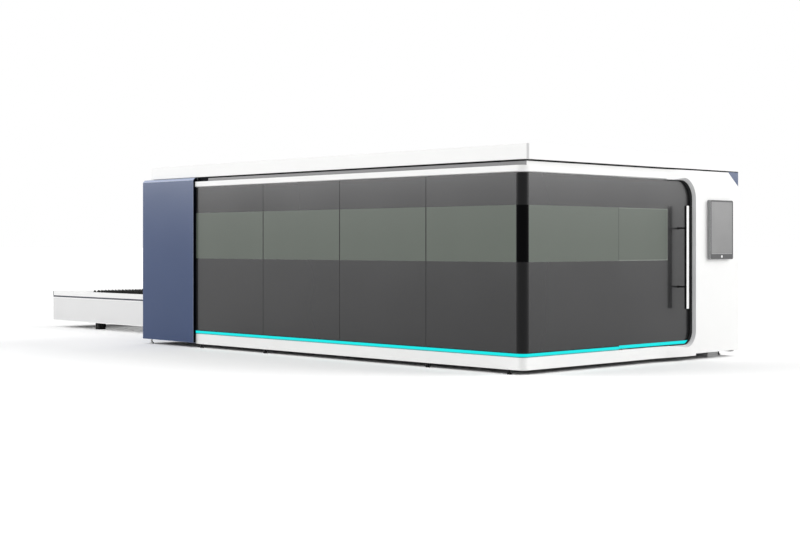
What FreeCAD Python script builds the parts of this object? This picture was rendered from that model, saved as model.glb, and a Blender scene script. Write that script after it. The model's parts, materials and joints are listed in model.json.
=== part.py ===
"""Fiber laser cutting machine: an enclosed hall, a gantry over a bed, and a two-level shuttle table.

All sizes are in millimetres. X runs along the machine towards the end door, Y from the near
long side to the far one, Z up. The origin is on the floor under the middle of the machine.
Every place is written from the hall's near corner: x from the dark end panel's face (negative
into the hall), y from the near panels' face, z from the floor.
"""

import FreeCAD, Part
import os
import re
import Sketcher

SIZES = {
    # the hall in plan: three seams part the near side into four bays, then the portal begins
    "first_bay": 1305,
    "bay_pitch": 1320,
    "last_bay": 1303,
    "portal_length": 1077,
    "table_reach": 4070,
    "hall_depth": 3615,
    "corner_radius": 80,
    # the hall in height, from the floor up
    "floor_gap": 47,
    "skirt_height": 122,
    "strip_height": 45,
    "panel_height": 1727,
    "rail_height": 69,
    "neck_height": 40,
    "shadow_gap": 16,
    "roof_height": 149,
    # plinth: a folded channel with a shelf above and a foot flange below
    "skirt_sheet": 6,
    "skirt_shelf": 100,
    "skirt_foot": 60,
    "strip_depth": 25,
    # wall panels: folded pans with a window band
    "panel_depth": 30,
    "panel_skin": 4,
    "panel_edge": 5,
    "seam": 4,
    "seat": 0.3,
    "window_rise": 868,
    "window_height": 548,
    "glass_depth": 8,
    "post_side": 60,
    "post_depth": 40,
    # top rail, neck and roof
    "rail_proud": 12,
    "rail_bevel": 23,
    "neck_inset": 45,
    "neck_wall": 40,
    "neck_proud": 6,
    "neck_overlap": 4,
    "shadow_inset": 20,
    "roof_inset": 15,
    "roof_lip": 90,
    "roof_sheet": 4,
    "roof_corner": 22,
    "roof_end_gap": 92,
    # end frame: the white column and the two arms round the door opening
    "end_proud": 50,
    "frame_back": 12,
    "column_width": 834,
    "column_step": 24,
    "opening_top_radius": 200,
    "opening_bottom_radius": 150,
    "opening_bevel": 25,
    "arm_length": 457,
    "arm_blend": 300,
    "column_rise": 22,
    "corner_cut_width": 208,
    "corner_cut_height": 160,
    "accent_depth": 12,
    "accent_setback": 8,
    # end panel and sliding door
    "end_panel_depth": 12,
    "end_seam": 1487,
    "door_gap": 3,
    "door_depth": 30,
    "door_overlap": 40,
    "door_tuck": 20,
    "door_lift": 11,
    "door_rise": 4,
    "pane_tuck": 20,
    "pane_margin": 407,
    "track_depth": 45,
    "track_height": 58,
    "track_lift": 10,
    "track_wall": 4,
    "track_start": 60,
    "track_stop": 40,
    "hanger_length": 120,
    "hanger_inset": 160,
    "hanger_sheet": 8,
    "hanger_line": 14,
    "hanger_tab": 20,
    "hanger_slot": 4,
    "carrier_height": 28,
    "running_gap": 0.4,
    # pull handle: a flat bar on two round standoffs
    "handle_reach": 124,
    "handle_width": 46,
    "handle_bar": 28,
    "handle_height": 1103,
    "handle_bevel": 3,
    "handle_bottom": 562,
    "handle_inset": 212,
    "standoff_radius": 9,
    "standoff_low": 797,
    "standoff_high": 1425,
    # control console on the column
    "console_margin": 175,
    "console_width": 445,
    "console_bottom": 1086,
    "console_height": 652,
    "console_depth": 40,
    "console_corner": 22,
    "screen_margin": 16,
    "screen_chin": 62,
    "screen_depth": 3,
    "button_radius": 13,
    "button_height": 10,
    "button_travel": 3,
    # blue portal
    "portal_proud": 38,
    "portal_bottom": 60,
    "portal_skin": 4,
    "cheek_depth": 60,
    "cheek_bevel": 28,
    "portal_drop": 8,
    "wall_depth": 40,
    "wall_return": 10,
    "entrance_bottom": 110,
    "entrance_top": 800,
    # lifting gate behind the entrance
    "gate_height": 850,
    "gate_depth": 20,
    "gate_rise": 10,
    "gate_rim": 20,
    "gate_rib": 12,
    "gate_trim": 2,
    "gate_lap": 40,
    "guide_back": 12,
    "guide_wall": 6,
    "guide_height": 890,
    # far side
    "hinge_gap": 5,
    "hinge_radius": 7,
    "hinge_pin": 3.5,
    "hinge_fit": 0.06,
    "hinge_length": 30,
    "hinge_strap": 3,
    "hinge_proud": 8,
    "hinge_inset": 180,
    "hinge_leaf": 28,
    "door_rim": 22,
    "grip_level": 950,
    "grip_height": 190,
    "grip_width": 20,
    "grip_reach": 18,
    "grip_leg": 16,
    "grip_inset": 40,
    "cabinet_depth": 380,
    "cabinet_gap": 2,
    "cabinet_plinth": 175,
    "cabinet_wall": 4,
    "plinth_inset": 40,
    "plinth_setback": 140,
    "board_inset": 60,
    "board_rise": 80,
    "board_sheet": 14,
    "unit_inset": 100,
    "unit_pitch": 330,
    "laser_length": 900,
    "laser_depth": 300,
    "laser_height": 1200,
    "laser_rise": 80,
    "laser_foot": 50,
    "laser_foot_inset": 90,
    "laser_foot_setback": 70,
    "laser_bevel": 20,
    "collar_radius": 150,
    "collar_wall": 3,
    "collar_flange": 5,
    "collar_rim": 25,
    "collar_height": 620,
    # bed
    "bed_end": 1500,
    "bed_gap": 120,
    "beam_width": 250,
    "beam_wall": 14,
    "beam_bottom": 60,
    "beam_top": 820,
    "cross_width": 140,
    "cross_inset": 137,
    "rail_width": 30,
    "rail_rise": 28,
    "rail_inset": 20,
    "rack_offset": 100,
    "rack_side": 24,
    # shuttle pallets
    "far_aisle": 695,
    "table_width": 1840,
    "table_top": 546,
    "beam_band": 69,
    "stripe_band": 22,
    "cover_bottom": 100,
    "side_wall": 10,
    "side_lip": 70,
    "lip_height": 49,
    "foot_flange": 210,
    "cover_sheet": 6,
    "portal_play": 2,
    "pallet_length": 3180,
    "pallet_gap": 95,
    "pallet_travel": 4300,
    "pallet_clear": 100,
    "pallet_member": 45,
    "pallet_depth": 110,
    "level_drop": 200,
    "tooth_rise": 25,
    "tooth_depth": 18,
    "slat_thickness": 4,
    "slat_pitch": 130,
    "slat_margin": 64,
    "ledge_width": 22,
    "ledge_thickness": 8,
    "ledge_clear": 4,
    "cross_member": 40,
    "cross_spacing": 760,
    "axle_rise": 25,
    "axle_radius": 12,
    "axle_clearance": 0.08,
    "wheel_radius": 36,
    "wheel_width": 36,
    "wheel_gap": 32,
    "wheel_base": 2300,
    "tow_lug": 60,
    # tracks, chains and shafts
    "track_sheet": 8,
    "track_leg": 60,
    "track_edge": 2,
    "track_joint": 5,
    "chain_width": 22,
    "chain_height": 15,
    "chain_gap": 5,
    "chain_drop": 4,
    "link_gap": 0.3,
    "sprocket_radius": 96,
    "sprocket_width": 14,
    "tooth_notch": 14,
    "shaft_radius": 20,
    "drive_setback": 445,
    "idler_setback": 250,
    "gearbox_side": 170,
    "gearbox_lip": 60,
    "bore_gap": 0.1,
    "arm_width": 60,
    "arm_height": 40,
    "motor_radius": 70,
    "motor_length": 300,
    "deck_length": 785,
    "deck_sheet": 5,
    "foot_side": 110,
    "foot_inset": 1080,
    "foot_setback": 420,
    # gantry
    "gantry_rest": 2424,
    "saddle_length": 560,
    "saddle_width": 190,
    "saddle_height": 66,
    "saddle_lap": 14,
    "rack_clear": 18,
    "servo_side": 120,
    "servo_height": 240,
    "servo_gap": 6,
    "gantry_depth": 260,
    "gantry_height": 300,
    "gantry_wall": 12,
    "gantry_chamfer": 50,
    "gantry_overhang": 95,
    "guide_rise": 18,
    "guide_width": 20,
    "guide_inset": 40,
    "guide_past": 40,
    "carriage_width": 280,
    "carriage_plate": 20,
    "carriage_past": 10,
    "grip_block": 80,
    "grip_wall": 16,
    "grip_clear": 3,
    "gib_width": 18,
    "z_motor_side": 90,
    "z_motor_height": 150,
    "slide_width": 150,
    "slide_plate": 15,
    "slide_height": 470,
    "mount_plate": 8,
    "mount_height": 200,
    "mount_rise": 30,
    "head_side": 100,
    "head_bevel": 14,
    "head_rest": 650,
    "head_height": 380,
    "taper_height": 80,
    "taper_top": 42,
    "taper_bottom": 20,
    "drawer_width": 56,
    "drawer_height": 26,
    "drawer_proud": 9,
    "tip_radius": 8,
    "tip_height": 12,
    "nozzle_radius": 14,
    "nozzle_height": 32,
    "inlet_radius": 20,
    "inlet_height": 30,
    "cross_travel": 1500,
    # levelling feet
    "pad_radius": 25,
    "pad_height": 14,
    "stud_radius": 12,
    "corner_foot_inset": 200,
    "portal_foot_inset": 80,
    "bed_foot_inset": 150,
}

# how many flats stand for a round form that repeats, and how many points a slat and a sprocket have
KNUCKLE_SIDES = 8
BUTTON_SIDES = 20
WHEEL_SIDES = 16
CHAIN_SIDES = 16
MOTOR_SIDES = 12
PAD_SIDES = 8
STUD_SIDES = 6
TIP_SIDES = 6
TEETH = 4
NOTCHES = 12

FORMULAS = {
    "portal_start": "first_bay + 2 * bay_pitch + last_bay",
    "portal_end": "portal_start + portal_length",
    "table_end": "portal_end + table_reach",
    "door_setback": "end_panel_depth + door_gap",
    "handle_out": "handle_reach - door_setback",
    "origin_x": "(table_end - handle_out) / 2",
    "origin_y": "hall_depth / 2",
    "skirt_top": "floor_gap + skirt_height",
    "panel_bottom": "skirt_top + strip_height",
    "panel_top": "panel_bottom + panel_height",
    "rail_top": "panel_top + rail_height",
    "neck_top": "rail_top + neck_height",
    "roof_bottom": "neck_top + shadow_gap",
    "window_bottom": "panel_bottom + window_rise",
    "column_left": "hall_depth - column_width",
    "opening_right": "column_left - column_step",
    "arm_start": "opening_right - arm_length",
    "console_left": "hall_depth - console_margin - console_width",
    "handle_line": "opening_right - handle_inset",
    "pane_end": "opening_right - pane_margin",
    "door_left": "end_seam - door_overlap",
    "door_right": "opening_right + door_tuck",
    "door_width": "door_right - door_left",
    "track_back": "frame_back + track_depth",
    "far_door_left": "-first_bay - seam / 2 + hinge_gap",
    "far_door_right": "-frame_back - hinge_gap",
    "far_door_width": "(far_door_right - far_door_left - door_gap) / 2",
    "hinge_line": "hall_depth + hinge_proud",
    "laser_line": "hall_depth - skirt_shelf - seat - laser_depth / 2",
    "collar_place": "first_bay + 2.5 * bay_pitch",
    "collar_length": "portal_proud + panel_skin + seat + collar_flange",
    "slat_gaps": "floor((pallet_length - 2 * slat_margin - slat_thickness) / slat_pitch)",
    "slat_start": "(pallet_length - slat_gaps * slat_pitch - slat_thickness) / 2",
    "table_side": "hall_depth - table_width - far_aisle",
    "pallet_mid": "table_side + table_width / 2",
    "pallet_half": "table_width / 2 - pallet_clear",
    "entrance_half": "table_width / 2 - side_wall",
    "frame_top": "table_top - tooth_rise",
    "frame_bottom": "frame_top - pallet_depth",
    "axle_level": "frame_bottom + axle_rise",
    "track_level": "axle_level - wheel_radius - seat",
    "ledge_top": "axle_level + axle_radius + ledge_clear + ledge_thickness",
    "wheel_inside": "pallet_half + wheel_gap",
    "wheel_outside": "wheel_inside + wheel_width",
    "chain_inside": f"(sprocket_radius + seat) / cos(180 deg / {CHAIN_SIDES})",
    "chain_outside": "chain_inside + chain_height",
    "shaft_level": "axle_level - wheel_radius - chain_drop - chain_outside",
    "chain_line": "pallet_half + chain_gap + chain_width / 2",
    "pallet_out": "portal_end + pallet_gap",
    "drive_place": "table_end - drive_setback",
    "idler_place": "bed_end + idler_setback",
    "bed_start": "portal_end - bed_gap",
    "bed_length": "bed_start - bed_end",
    "bed_inside": "table_width / 2 + 30",
    "rail_line": "bed_inside + beam_width / 2",
    "gantry_bottom": "beam_top + rail_rise + running_gap + saddle_height - saddle_lap",
    "gate_place": "portal_end - wall_depth - guide_wall - running_gap - gate_depth",
}

DOC = FreeCAD.newDocument("fiber_laser_cutting_machine")
SHEET = DOC.addObject("Spreadsheet::Sheet", "Sizes")
PIECES = []


def fill_sheet():
    """Write one row for each driving size: its name, and its value under that alias."""
    for row, (alias, value) in enumerate(SIZES.items(), start=1):
        SHEET.set(f"A{row}", alias)
        SHEET.set(f"B{row}", str(value))
        SHEET.setAlias(f"B{row}", alias)
    DOC.recompute()


def full(words):
    """Open up each named formula, and read each size from the sheet."""

    def swap(match):
        word = match.group(0)
        if word in FORMULAS:
            return "(" + full(FORMULAS[word]) + ")"
        return "Sizes." + word if word in SIZES else word

    return re.sub(r"[A-Za-z_][A-Za-z_0-9]*", swap, str(words))


def number(words):
    return float(SHEET.evalExpression(full(words)))


def bind(made, prop, words):
    made.setExpression(prop, full(words))


def place(made, x="0", y="0", z="0"):
    """Put an object at a place given from the hall's near corner."""
    bind(made, "Placement.Base.x", f"({x}) + origin_x")
    bind(made, "Placement.Base.y", f"({y}) - origin_y")
    bind(made, "Placement.Base.z", z)


def piece(label, made):
    """Name a finished piece, and keep it for checking and writing."""
    made.Label = label
    PIECES.append(made)
    return made


def block(low, size):
    """A box from its low corner and its three sides."""
    made = DOC.addObject("Part::Box", "block")
    for prop, words in zip(("Length", "Width", "Height"), size):
        bind(made, prop, words)
    place(made, *low)
    return made


TURNS = {
    "x": FreeCAD.Rotation(FreeCAD.Vector(0, 1, 0), 90),
    "y": FreeCAD.Rotation(FreeCAD.Vector(1, 0, 0), -90),
    "z": FreeCAD.Rotation(),
}


def rod(axis, low, radius, length):
    """A cylinder along one axis, from the middle of its low end."""
    made = DOC.addObject("Part::Cylinder", "rod")
    bind(made, "Radius", radius)
    bind(made, "Height", length)
    made.Placement = FreeCAD.Placement(FreeCAD.Vector(), TURNS[axis])
    place(made, *low)
    return made


def prism(axis, sides, low, radius, length):
    """A bar with flat sides along one axis, from the middle of its low end."""
    made = DOC.addObject("Part::Prism", "prism")
    made.Polygon = sides
    bind(made, "Circumradius", radius)
    bind(made, "Height", length)
    made.Placement = FreeCAD.Placement(FreeCAD.Vector(), TURNS[axis])
    place(made, *low)
    return made


def fuse(parts):
    made = DOC.addObject("Part::MultiFuse", "joined")
    made.Shapes = parts
    made.Refine = True
    return made


def cut(base, tools):
    made = DOC.addObject("Part::Cut", "trimmed")
    made.Base = base
    made.Tool = tools[0] if len(tools) == 1 else fuse(tools)
    made.Refine = True
    return made


def group(parts):
    """Separate solids of one kind that share a node."""
    made = DOC.addObject("Part::Compound", "group")
    made.Links = parts
    return made


def body(x="0", y="0", z="0"):
    made = DOC.addObject("PartDesign::Body", "body")
    place(made, x, y, z)
    return made


def plane(owner, role):
    return next(f for f in owner.Origin.OriginFeatures if f.Role == role)


def draw(owner, role, points, lift="0"):
    """A closed outline on one of the body's own planes, each corner held by two sizes."""
    drawn = owner.newObject("Sketcher::SketchObject", "outline")
    drawn.AttachmentSupport = (plane(owner, role), [""])
    drawn.MapMode = "FlatFace"
    bind(drawn, "AttachmentOffset.Base.z", lift)
    spots = [FreeCAD.Vector(number(u), number(v), 0) for u, v in points]
    count = len(spots)
    for index in range(count):
        drawn.addGeometry(Part.LineSegment(spots[index], spots[(index + 1) % count]), False)
    for index in range(count):
        drawn.addConstraint(Sketcher.Constraint("Coincident", index, 2, (index + 1) % count, 1))
    for index, (u, v) in enumerate(points):
        for kind, words, value in (("X", u, spots[index].x), ("Y", v, spots[index].y)):
            held = drawn.addConstraint(
                Sketcher.Constraint("Distance" + kind, -1, 1, index, 1, value)
            )
            name = f"{kind.lower()}{index}"
            drawn.renameConstraint(held, name)
            bind(drawn, "Constraints." + name, words)
    return drawn


def pad(owner, drawn, length, back=False):
    made = owner.newObject("PartDesign::Pad", "pad")
    made.Profile = drawn
    bind(made, "Length", length)
    made.Reversed = back
    DOC.recompute()
    return made


def pocket(owner, drawn, depth, back=False):
    before = owner.Shape.Volume
    made = owner.newObject("PartDesign::Pocket", "pocket")
    made.Profile = drawn
    bind(made, "Length", depth)
    made.Reversed = back
    DOC.recompute()
    if owner.Shape.Volume > before - 1:
        raise ValueError("a pocket cut nothing")
    return made


def dressed(owner, kind, base, edges):
    """A fillet or a chamfer on the edges of a feature for which a test holds."""
    names = [f"Edge{i}" for i, edge in enumerate(base.Shape.Edges, start=1) if edges(edge)]
    made = owner.newObject("PartDesign::" + kind, kind.lower())
    made.Base = (base, names)
    return made


def fillet(owner, base, edges, radius):
    made = dressed(owner, "Fillet", base, edges)
    bind(made, "Radius", radius)
    DOC.recompute()
    return made


def bevel(owner, base, edges, size):
    made = dressed(owner, "Chamfer", base, edges)
    bind(made, "Size", size)
    DOC.recompute()
    return made


def near(value, words, slack=0.01):
    return abs(value - number(words)) < slack


def along(edge, axis):
    """Is this a straight edge along one axis?"""
    if not isinstance(edge.Curve, Part.Line):
        return False
    return abs(abs(getattr(edge.Curve.Direction, axis)) - 1) < 1e-6


def wrapped(proud, backs, stop, bottom, height, inner_radius=None):
    """A layer that runs along the near side, round the near corner and along the end.

    backs are how far it reaches in from the near side's face and from the end's face.
    """
    side_back, end_back = backs
    owner = body(z=bottom)
    outline = draw(
        owner,
        "XY_Plane",
        [
            ("-portal_start", f"-({proud})"),
            (proud, f"-({proud})"),
            (proud, stop),
            (f"-({end_back})", stop),
            (f"-({end_back})", side_back),
            ("-portal_start", side_back),
        ],
    )
    layer = pad(owner, outline, height)

    def outer_corner(edge):
        spot = edge.CenterOfMass
        return along(edge, "z") and near(spot.x, proud) and near(spot.y, f"-({proud})")

    def inner_corner(edge):
        spot = edge.CenterOfMass
        return along(edge, "z") and near(spot.x, f"-({end_back})") and near(spot.y, side_back)

    layer = fillet(owner, layer, outer_corner, f"corner_radius + ({proud})")
    if inner_radius:
        fillet(owner, layer, inner_corner, inner_radius)
    return owner


def base_skirt():
    """White plinth: a channel with a shelf and a foot flange, on three sides of the hall."""
    layers = (
        ("skirt_sheet", "floor_gap", "skirt_height", "corner_radius - skirt_sheet"),
        ("skirt_shelf", "skirt_top - skirt_sheet", "skirt_sheet", None),
        ("skirt_foot", "floor_gap", "skirt_sheet", None),
    )
    near_run, far_run = [], []
    for back, bottom, height, inner_radius in layers:
        near_run.append(wrapped("0", (back, back), "arm_start", bottom, height, inner_radius))
        far_run.append(
            block(
                ("-portal_start", f"hall_depth - {back}", bottom),
                ("portal_start - frame_back", back, height),
            )
        )
    return group([fuse(near_run), fuse(far_run)])


def light_strip():
    return wrapped(
        "0",
        ("strip_depth", "frame_back"),
        "end_seam",
        "skirt_top",
        "strip_height",
        "corner_radius - strip_depth",
    )


def top_rail():
    """White rail over the panels, with a bevel that runs round the corner under its face."""
    owner = wrapped(
        "rail_proud",
        ("panel_depth", "frame_back"),
        "arm_start",
        "panel_top",
        "rail_height",
        "corner_radius - panel_depth",
    )

    def lower_rim(edge):
        box = edge.BoundBox
        if box.ZMax > 0.01:
            return False
        on_side = near(box.YMax, "-rail_proud")
        on_end = near(box.XMin, "rail_proud")
        round_corner = near(box.YMin, "-rail_proud") and near(box.XMax, "rail_proud")
        return on_side or on_end or round_corner

    made = dressed(owner, "Chamfer", owner.Tip, lower_rim)
    made.ChamferType = "Two distances"
    made.FlipDirection = True
    bind(made, "Size", "rail_proud - 1")
    bind(made, "Size2", "rail_bevel")
    DOC.recompute()
    return owner


def roof_neck():
    """Ring between the rail and the roof: a white step, and a deeper one in the roof's shadow."""
    low_x = "-portal_end + roof_end_gap + neck_overlap"
    inner_y = "neck_inset + neck_wall"

    def step(inset, bottom, height):
        outer = block(
            (low_x, f"neck_inset + {inset}", bottom),
            (
                f"-({low_x}) + neck_proud - {inset}",
                f"hall_depth - 2 * neck_inset - 2 * {inset}",
                height,
            ),
        )
        hollow = block(
            (f"{low_x} + neck_wall", inner_y, f"{bottom} - 1"),
            (
                f"-({low_x}) + neck_proud - 2 * neck_wall",
                f"hall_depth - 2 * ({inner_y})",
                f"{height} + 2",
            ),
        )
        return cut(outer, [hollow])

    behind_arm = block(
        ("-frame_back", "arm_start", "rail_top"),
        ("frame_back + neck_proud", "hall_depth - arm_start", "neck_height"),
    )
    lower = cut(step("0", "rail_top", "neck_height"), [behind_arm])
    return fuse([lower, step("shadow_inset", "neck_top", "shadow_gap")])


def roof_cap():
    """White roof: a folded cap whose lip turns in under it, open over the hall."""
    owner = body(z="roof_bottom")
    low_x = "-portal_end + roof_end_gap"

    def outline(inset, lift):
        return draw(
            owner,
            "XY_Plane",
            [
                (f"{low_x} + {inset}", f"roof_inset + {inset}"),
                (f"end_proud - {inset}", f"roof_inset + {inset}"),
                (f"end_proud - {inset}", f"hall_depth - {inset}"),
                (f"{low_x} + {inset}", f"hall_depth - {inset}"),
            ],
            lift=lift,
        )

    solid = pad(owner, outline("0", "0"), "roof_height")
    fillet(owner, solid, lambda edge: along(edge, "z"), "roof_corner")
    pocket(owner, outline("roof_lip", "0"), "roof_height - roof_sheet", back=True)
    pocket(owner, outline("roof_sheet", "roof_sheet"), "roof_height - 2 * roof_sheet", back=True)
    return owner


def corner_post():
    """Dark quarter-round post between the near side and the end."""
    quarter = []
    for radius in ("corner_radius", "corner_radius - panel_depth"):
        made = DOC.addObject("Part::Cylinder", "quarter")
        bind(made, "Radius", radius)
        bind(made, "Height", "panel_height")
        made.Angle = 90
        made.Placement = FreeCAD.Placement(
            FreeCAD.Vector(), FreeCAD.Rotation(FreeCAD.Vector(0, 0, 1), -90)
        )
        place(made, "-corner_radius", "corner_radius", "panel_bottom")
        quarter.append(made)
    return cut(quarter[0], quarter[1:])


def pan(low, size, skin_at, skin, rim, windows=()):
    """A folded pan: a skin with returned edges, hollow behind, with window openings.

    skin_at is the axis and the side of the skin: "y-", "y+" or "x+".
    """
    axis, side = skin_at[0], skin_at[1]
    index = "xyz".index(axis)
    inner_low = [f"{words} + {rim}" for words in low]
    inner_size = [f"{words} - 2 * ({rim})" for words in size]
    inner_size[index] = f"{size[index]} - ({skin}) + 1"
    inner_low[index] = f"{low[index]} + ({skin})" if side == "-" else f"{low[index]} - 1"
    tools = [block(inner_low, inner_size)]
    for window_low, window_size in windows:
        tools.append(block(window_low, window_size))
    return cut(block(low, size), tools)


BAYS = [
    ("corner_radius", "first_bay"),
    ("first_bay", "first_bay + bay_pitch"),
    ("first_bay + bay_pitch", "first_bay + 2 * bay_pitch"),
    ("first_bay + 2 * bay_pitch", "portal_start"),
]


def side_panels():
    """Four dark pans on the near side, each with the window band cut through it."""
    for index, (start, stop) in enumerate(BAYS, start=1):
        low = (f"-({stop}) + seam / 2", "0", "panel_bottom")
        size = (f"({stop}) - ({start}) - seam", "panel_depth", "panel_height")
        window = (
            (f"-({stop}) + seam / 2 + panel_edge", "-1", "window_bottom"),
            (f"({stop}) - ({start}) - seam - 2 * panel_edge", "panel_depth + 2", "window_height"),
        )
        made = pan(low, size, "y-", "panel_skin", "panel_edge", [window])
        piece(f"side_panel_{index}", made)


def fixed_windows():
    """Laser glass panes that fill the band in the fixed panels, flush with their faces."""
    panes = []
    for start, stop in BAYS:
        panes.append(
            block(
                (f"-({stop}) + seam / 2 + panel_edge", "0", "window_bottom"),
                (
                    f"({stop}) - ({start}) - seam - 2 * panel_edge",
                    "glass_depth",
                    "window_height",
                ),
            )
        )
    panes.append(
        block(
            ("-glass_depth", "corner_radius + panel_edge", "window_bottom"),
            ("glass_depth", "end_seam - corner_radius - 2 * panel_edge", "window_height"),
        )
    )
    return group(panes)


def end_panel():
    low = ("-end_panel_depth", "corner_radius + seam / 2", "panel_bottom")
    size = ("end_panel_depth", "end_seam - corner_radius - seam / 2", "panel_height")
    window = (
        ("-end_panel_depth - 1", "corner_radius + panel_edge", "window_bottom"),
        (
            "end_panel_depth + 2",
            "end_seam - corner_radius - 2 * panel_edge",
            "window_height",
        ),
    )
    return pan(low, size, "x+", "panel_skin", "panel_edge", [window])


def end_frame():
    """White column with two arms: a rounded, bevelled door opening between them."""
    owner = body(x="-frame_back")
    outline = draw(
        owner,
        "YZ_Plane",
        [
            ("arm_start", "panel_top"),
            ("opening_right", "panel_top"),
            ("opening_right", "skirt_top"),
            ("arm_start", "skirt_top"),
            ("arm_start", "floor_gap"),
            ("column_left", "floor_gap"),
            ("column_left", "floor_gap + column_rise"),
            ("hall_depth", "floor_gap + column_rise"),
            ("hall_depth", "neck_top - corner_cut_height"),
            ("hall_depth - corner_cut_width", "neck_top"),
            ("arm_start", "neck_top"),
        ],
    )
    solid = pad(owner, outline, "frame_back + end_proud")

    def at_corner(level):
        def test(edge):
            spot = edge.CenterOfMass
            return along(edge, "x") and near(spot.y, "opening_right") and near(spot.z, level)

        return test

    upper = fillet(owner, solid, at_corner("panel_top"), "opening_top_radius")
    lower = fillet(owner, upper, at_corner("skirt_top"), "opening_bottom_radius")

    def mouth(edge):
        box = edge.BoundBox
        if not near(box.XMin, "frame_back + end_proud"):
            return False
        inside_y = box.YMax < number("opening_right") + 0.01
        inside_z = box.ZMin > number("skirt_top") - 0.01 and box.ZMax < number("panel_top") + 0.01
        return inside_y and inside_z

    bevel(owner, lower, mouth, "opening_bevel")
    wedge = draw(
        owner,
        "XY_Plane",
        [
            ("frame_back + rail_proud", "arm_start - 1"),
            ("frame_back + end_proud + 1", "arm_start - 1"),
            ("frame_back + end_proud + 1", "arm_start + arm_blend"),
        ],
    )
    pocket(owner, wedge, "neck_top + 1", back=True)
    return owner


def accent_panel():
    """Blue triangle set back behind the column's cut corner."""
    owner = body(x="end_proud - accent_setback - accent_depth")
    outline = draw(
        owner,
        "YZ_Plane",
        [
            ("hall_depth", "neck_top - corner_cut_height"),
            ("hall_depth", "roof_bottom"),
            ("hall_depth - corner_cut_width", "roof_bottom"),
            ("hall_depth - corner_cut_width", "neck_top"),
        ],
    )
    pad(owner, outline, "accent_depth")
    return owner


def hinge_levels():
    """Heights of the two hinges of a cabinet door."""
    return ("skirt_top + hinge_inset", "rail_top - hinge_inset - 2 * hinge_length")


def hinge_seat(post, line):
    """Weld to a far post the straps, knuckles and pins that carry a cabinet door."""
    parts = [post]
    for level in hinge_levels():
        parts.append(
            block(
                (f"{line} - hinge_strap / 2", "hall_depth - panel_depth", f"{level} - hinge_length"),
                ("hinge_strap", "panel_depth + hinge_proud", "hinge_length"),
            )
        )
        knuckle_low = (line, "hinge_line", f"{level} - hinge_length")
        parts.append(prism("z", KNUCKLE_SIDES, knuckle_low, "hinge_radius", "hinge_length"))
        parts.append(
            rod("z", (line, "hinge_line", f"{level} - 1"), "hinge_pin", "hinge_length - 2")
        )
    return fuse(parts)


def hall_posts():
    """Square tubes behind the seams and in the far corner, from the plinth up to the neck."""
    far_y = "hall_depth - panel_depth - post_depth"
    places = [
        ("-first_bay - post_side / 2", "skirt_top"),
        ("-first_bay - bay_pitch - post_side / 2", "skirt_top"),
        ("-first_bay - 2 * bay_pitch - post_side / 2", "skirt_top"),
        ("-portal_start", "skirt_top"),
        ("-portal_end + wall_depth", "portal_bottom"),
    ]
    posts = []
    for low_x, bottom in places:
        for low_y in ("panel_depth", far_y):
            posts.append(
                block((low_x, low_y, bottom), ("post_side", "post_depth", f"rail_top - {bottom}"))
            )
    corner = block(
        ("-frame_back - post_side", far_y, "skirt_top"),
        ("post_side", "post_depth", "rail_top - skirt_top"),
    )
    posts[1] = hinge_seat(posts[1], "far_door_left - hinge_gap / 2")
    posts.append(hinge_seat(corner, "far_door_right + hinge_gap / 2"))
    return group(posts)


def end_door():
    """Dark sliding door: a pan with its window, hung from two carriers in the track."""
    back = "-door_setback - door_depth"
    door = pan(
        (back, "door_left", "panel_bottom"),
        ("door_depth", "door_width", "panel_height + door_rise"),
        "x+",
        "panel_skin",
        "panel_edge",
        [
            (
                (f"{back} - 1", "end_seam - pane_tuck", "window_bottom"),
                ("door_depth + 2", "pane_end - end_seam + pane_tuck", "window_height"),
            )
        ],
    )
    parts = [door]
    rail_low = "panel_top + track_lift + track_wall"
    for side in ("door_left + hanger_inset", "door_right - hanger_inset - hanger_length"):
        parts.append(
            block(
                ("-door_setback - hanger_line - hanger_sheet / 2", side, "panel_top"),
                ("hanger_sheet", "hanger_length", f"{rail_low} - panel_top + hanger_tab"),
            )
        )
        parts.append(
            block(
                ("-track_back + track_wall + running_gap", side, f"{rail_low} + seat"),
                (
                    "track_depth - 2 * track_wall - 2 * running_gap",
                    "hanger_length",
                    "carrier_height",
                ),
            )
        )
    return fuse(parts)


def door_track():
    """Channel with a slot below, in which the door's carriers run."""
    start = "corner_radius + track_start"
    length = "opening_right - corner_radius - track_stop"
    low_z = "panel_top + track_lift"
    outer = block(("-track_back", start, low_z), ("track_depth", length, "track_height"))
    inside = block(
        ("-track_back + track_wall", f"{start} - 1", f"{low_z} + track_wall"),
        ("track_depth - 2 * track_wall", f"{length} + 2", "track_height - 2 * track_wall"),
    )
    slot = block(
        (
            "-door_setback - hanger_line - hanger_sheet / 2 - hanger_slot",
            f"{start} - 1",
            f"{low_z} - 1",
        ),
        ("hanger_sheet + 2 * hanger_slot", f"{length} + 2", "track_wall + 2"),
    )
    return cut(outer, [inside, slot])


def door_window():
    return block(
        ("-door_setback - glass_depth", "end_seam - pane_tuck", "window_bottom"),
        ("glass_depth", "pane_end - end_seam + pane_tuck", "window_height"),
    )


def door_handle():
    """Flat pull bar with bevelled edges, on two round standoffs."""
    owner = body(
        x="handle_out - handle_bar", y="handle_line - handle_width / 2", z="handle_bottom"
    )
    outline = draw(
        owner,
        "XY_Plane",
        [
            ("0", "0"),
            ("handle_bar", "0"),
            ("handle_bar", "handle_width"),
            ("0", "handle_width"),
        ],
    )
    bar = pad(owner, outline, "handle_height")
    bevel(owner, bar, lambda edge: along(edge, "z"), "handle_bevel")
    standoffs = [
        rod(
            "x",
            ("-door_setback", "handle_line", level),
            "standoff_radius",
            "handle_reach - handle_bar + 2",
        )
        for level in ("standoff_low", "standoff_high")
    ]
    return fuse([owner, *standoffs])


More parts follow.
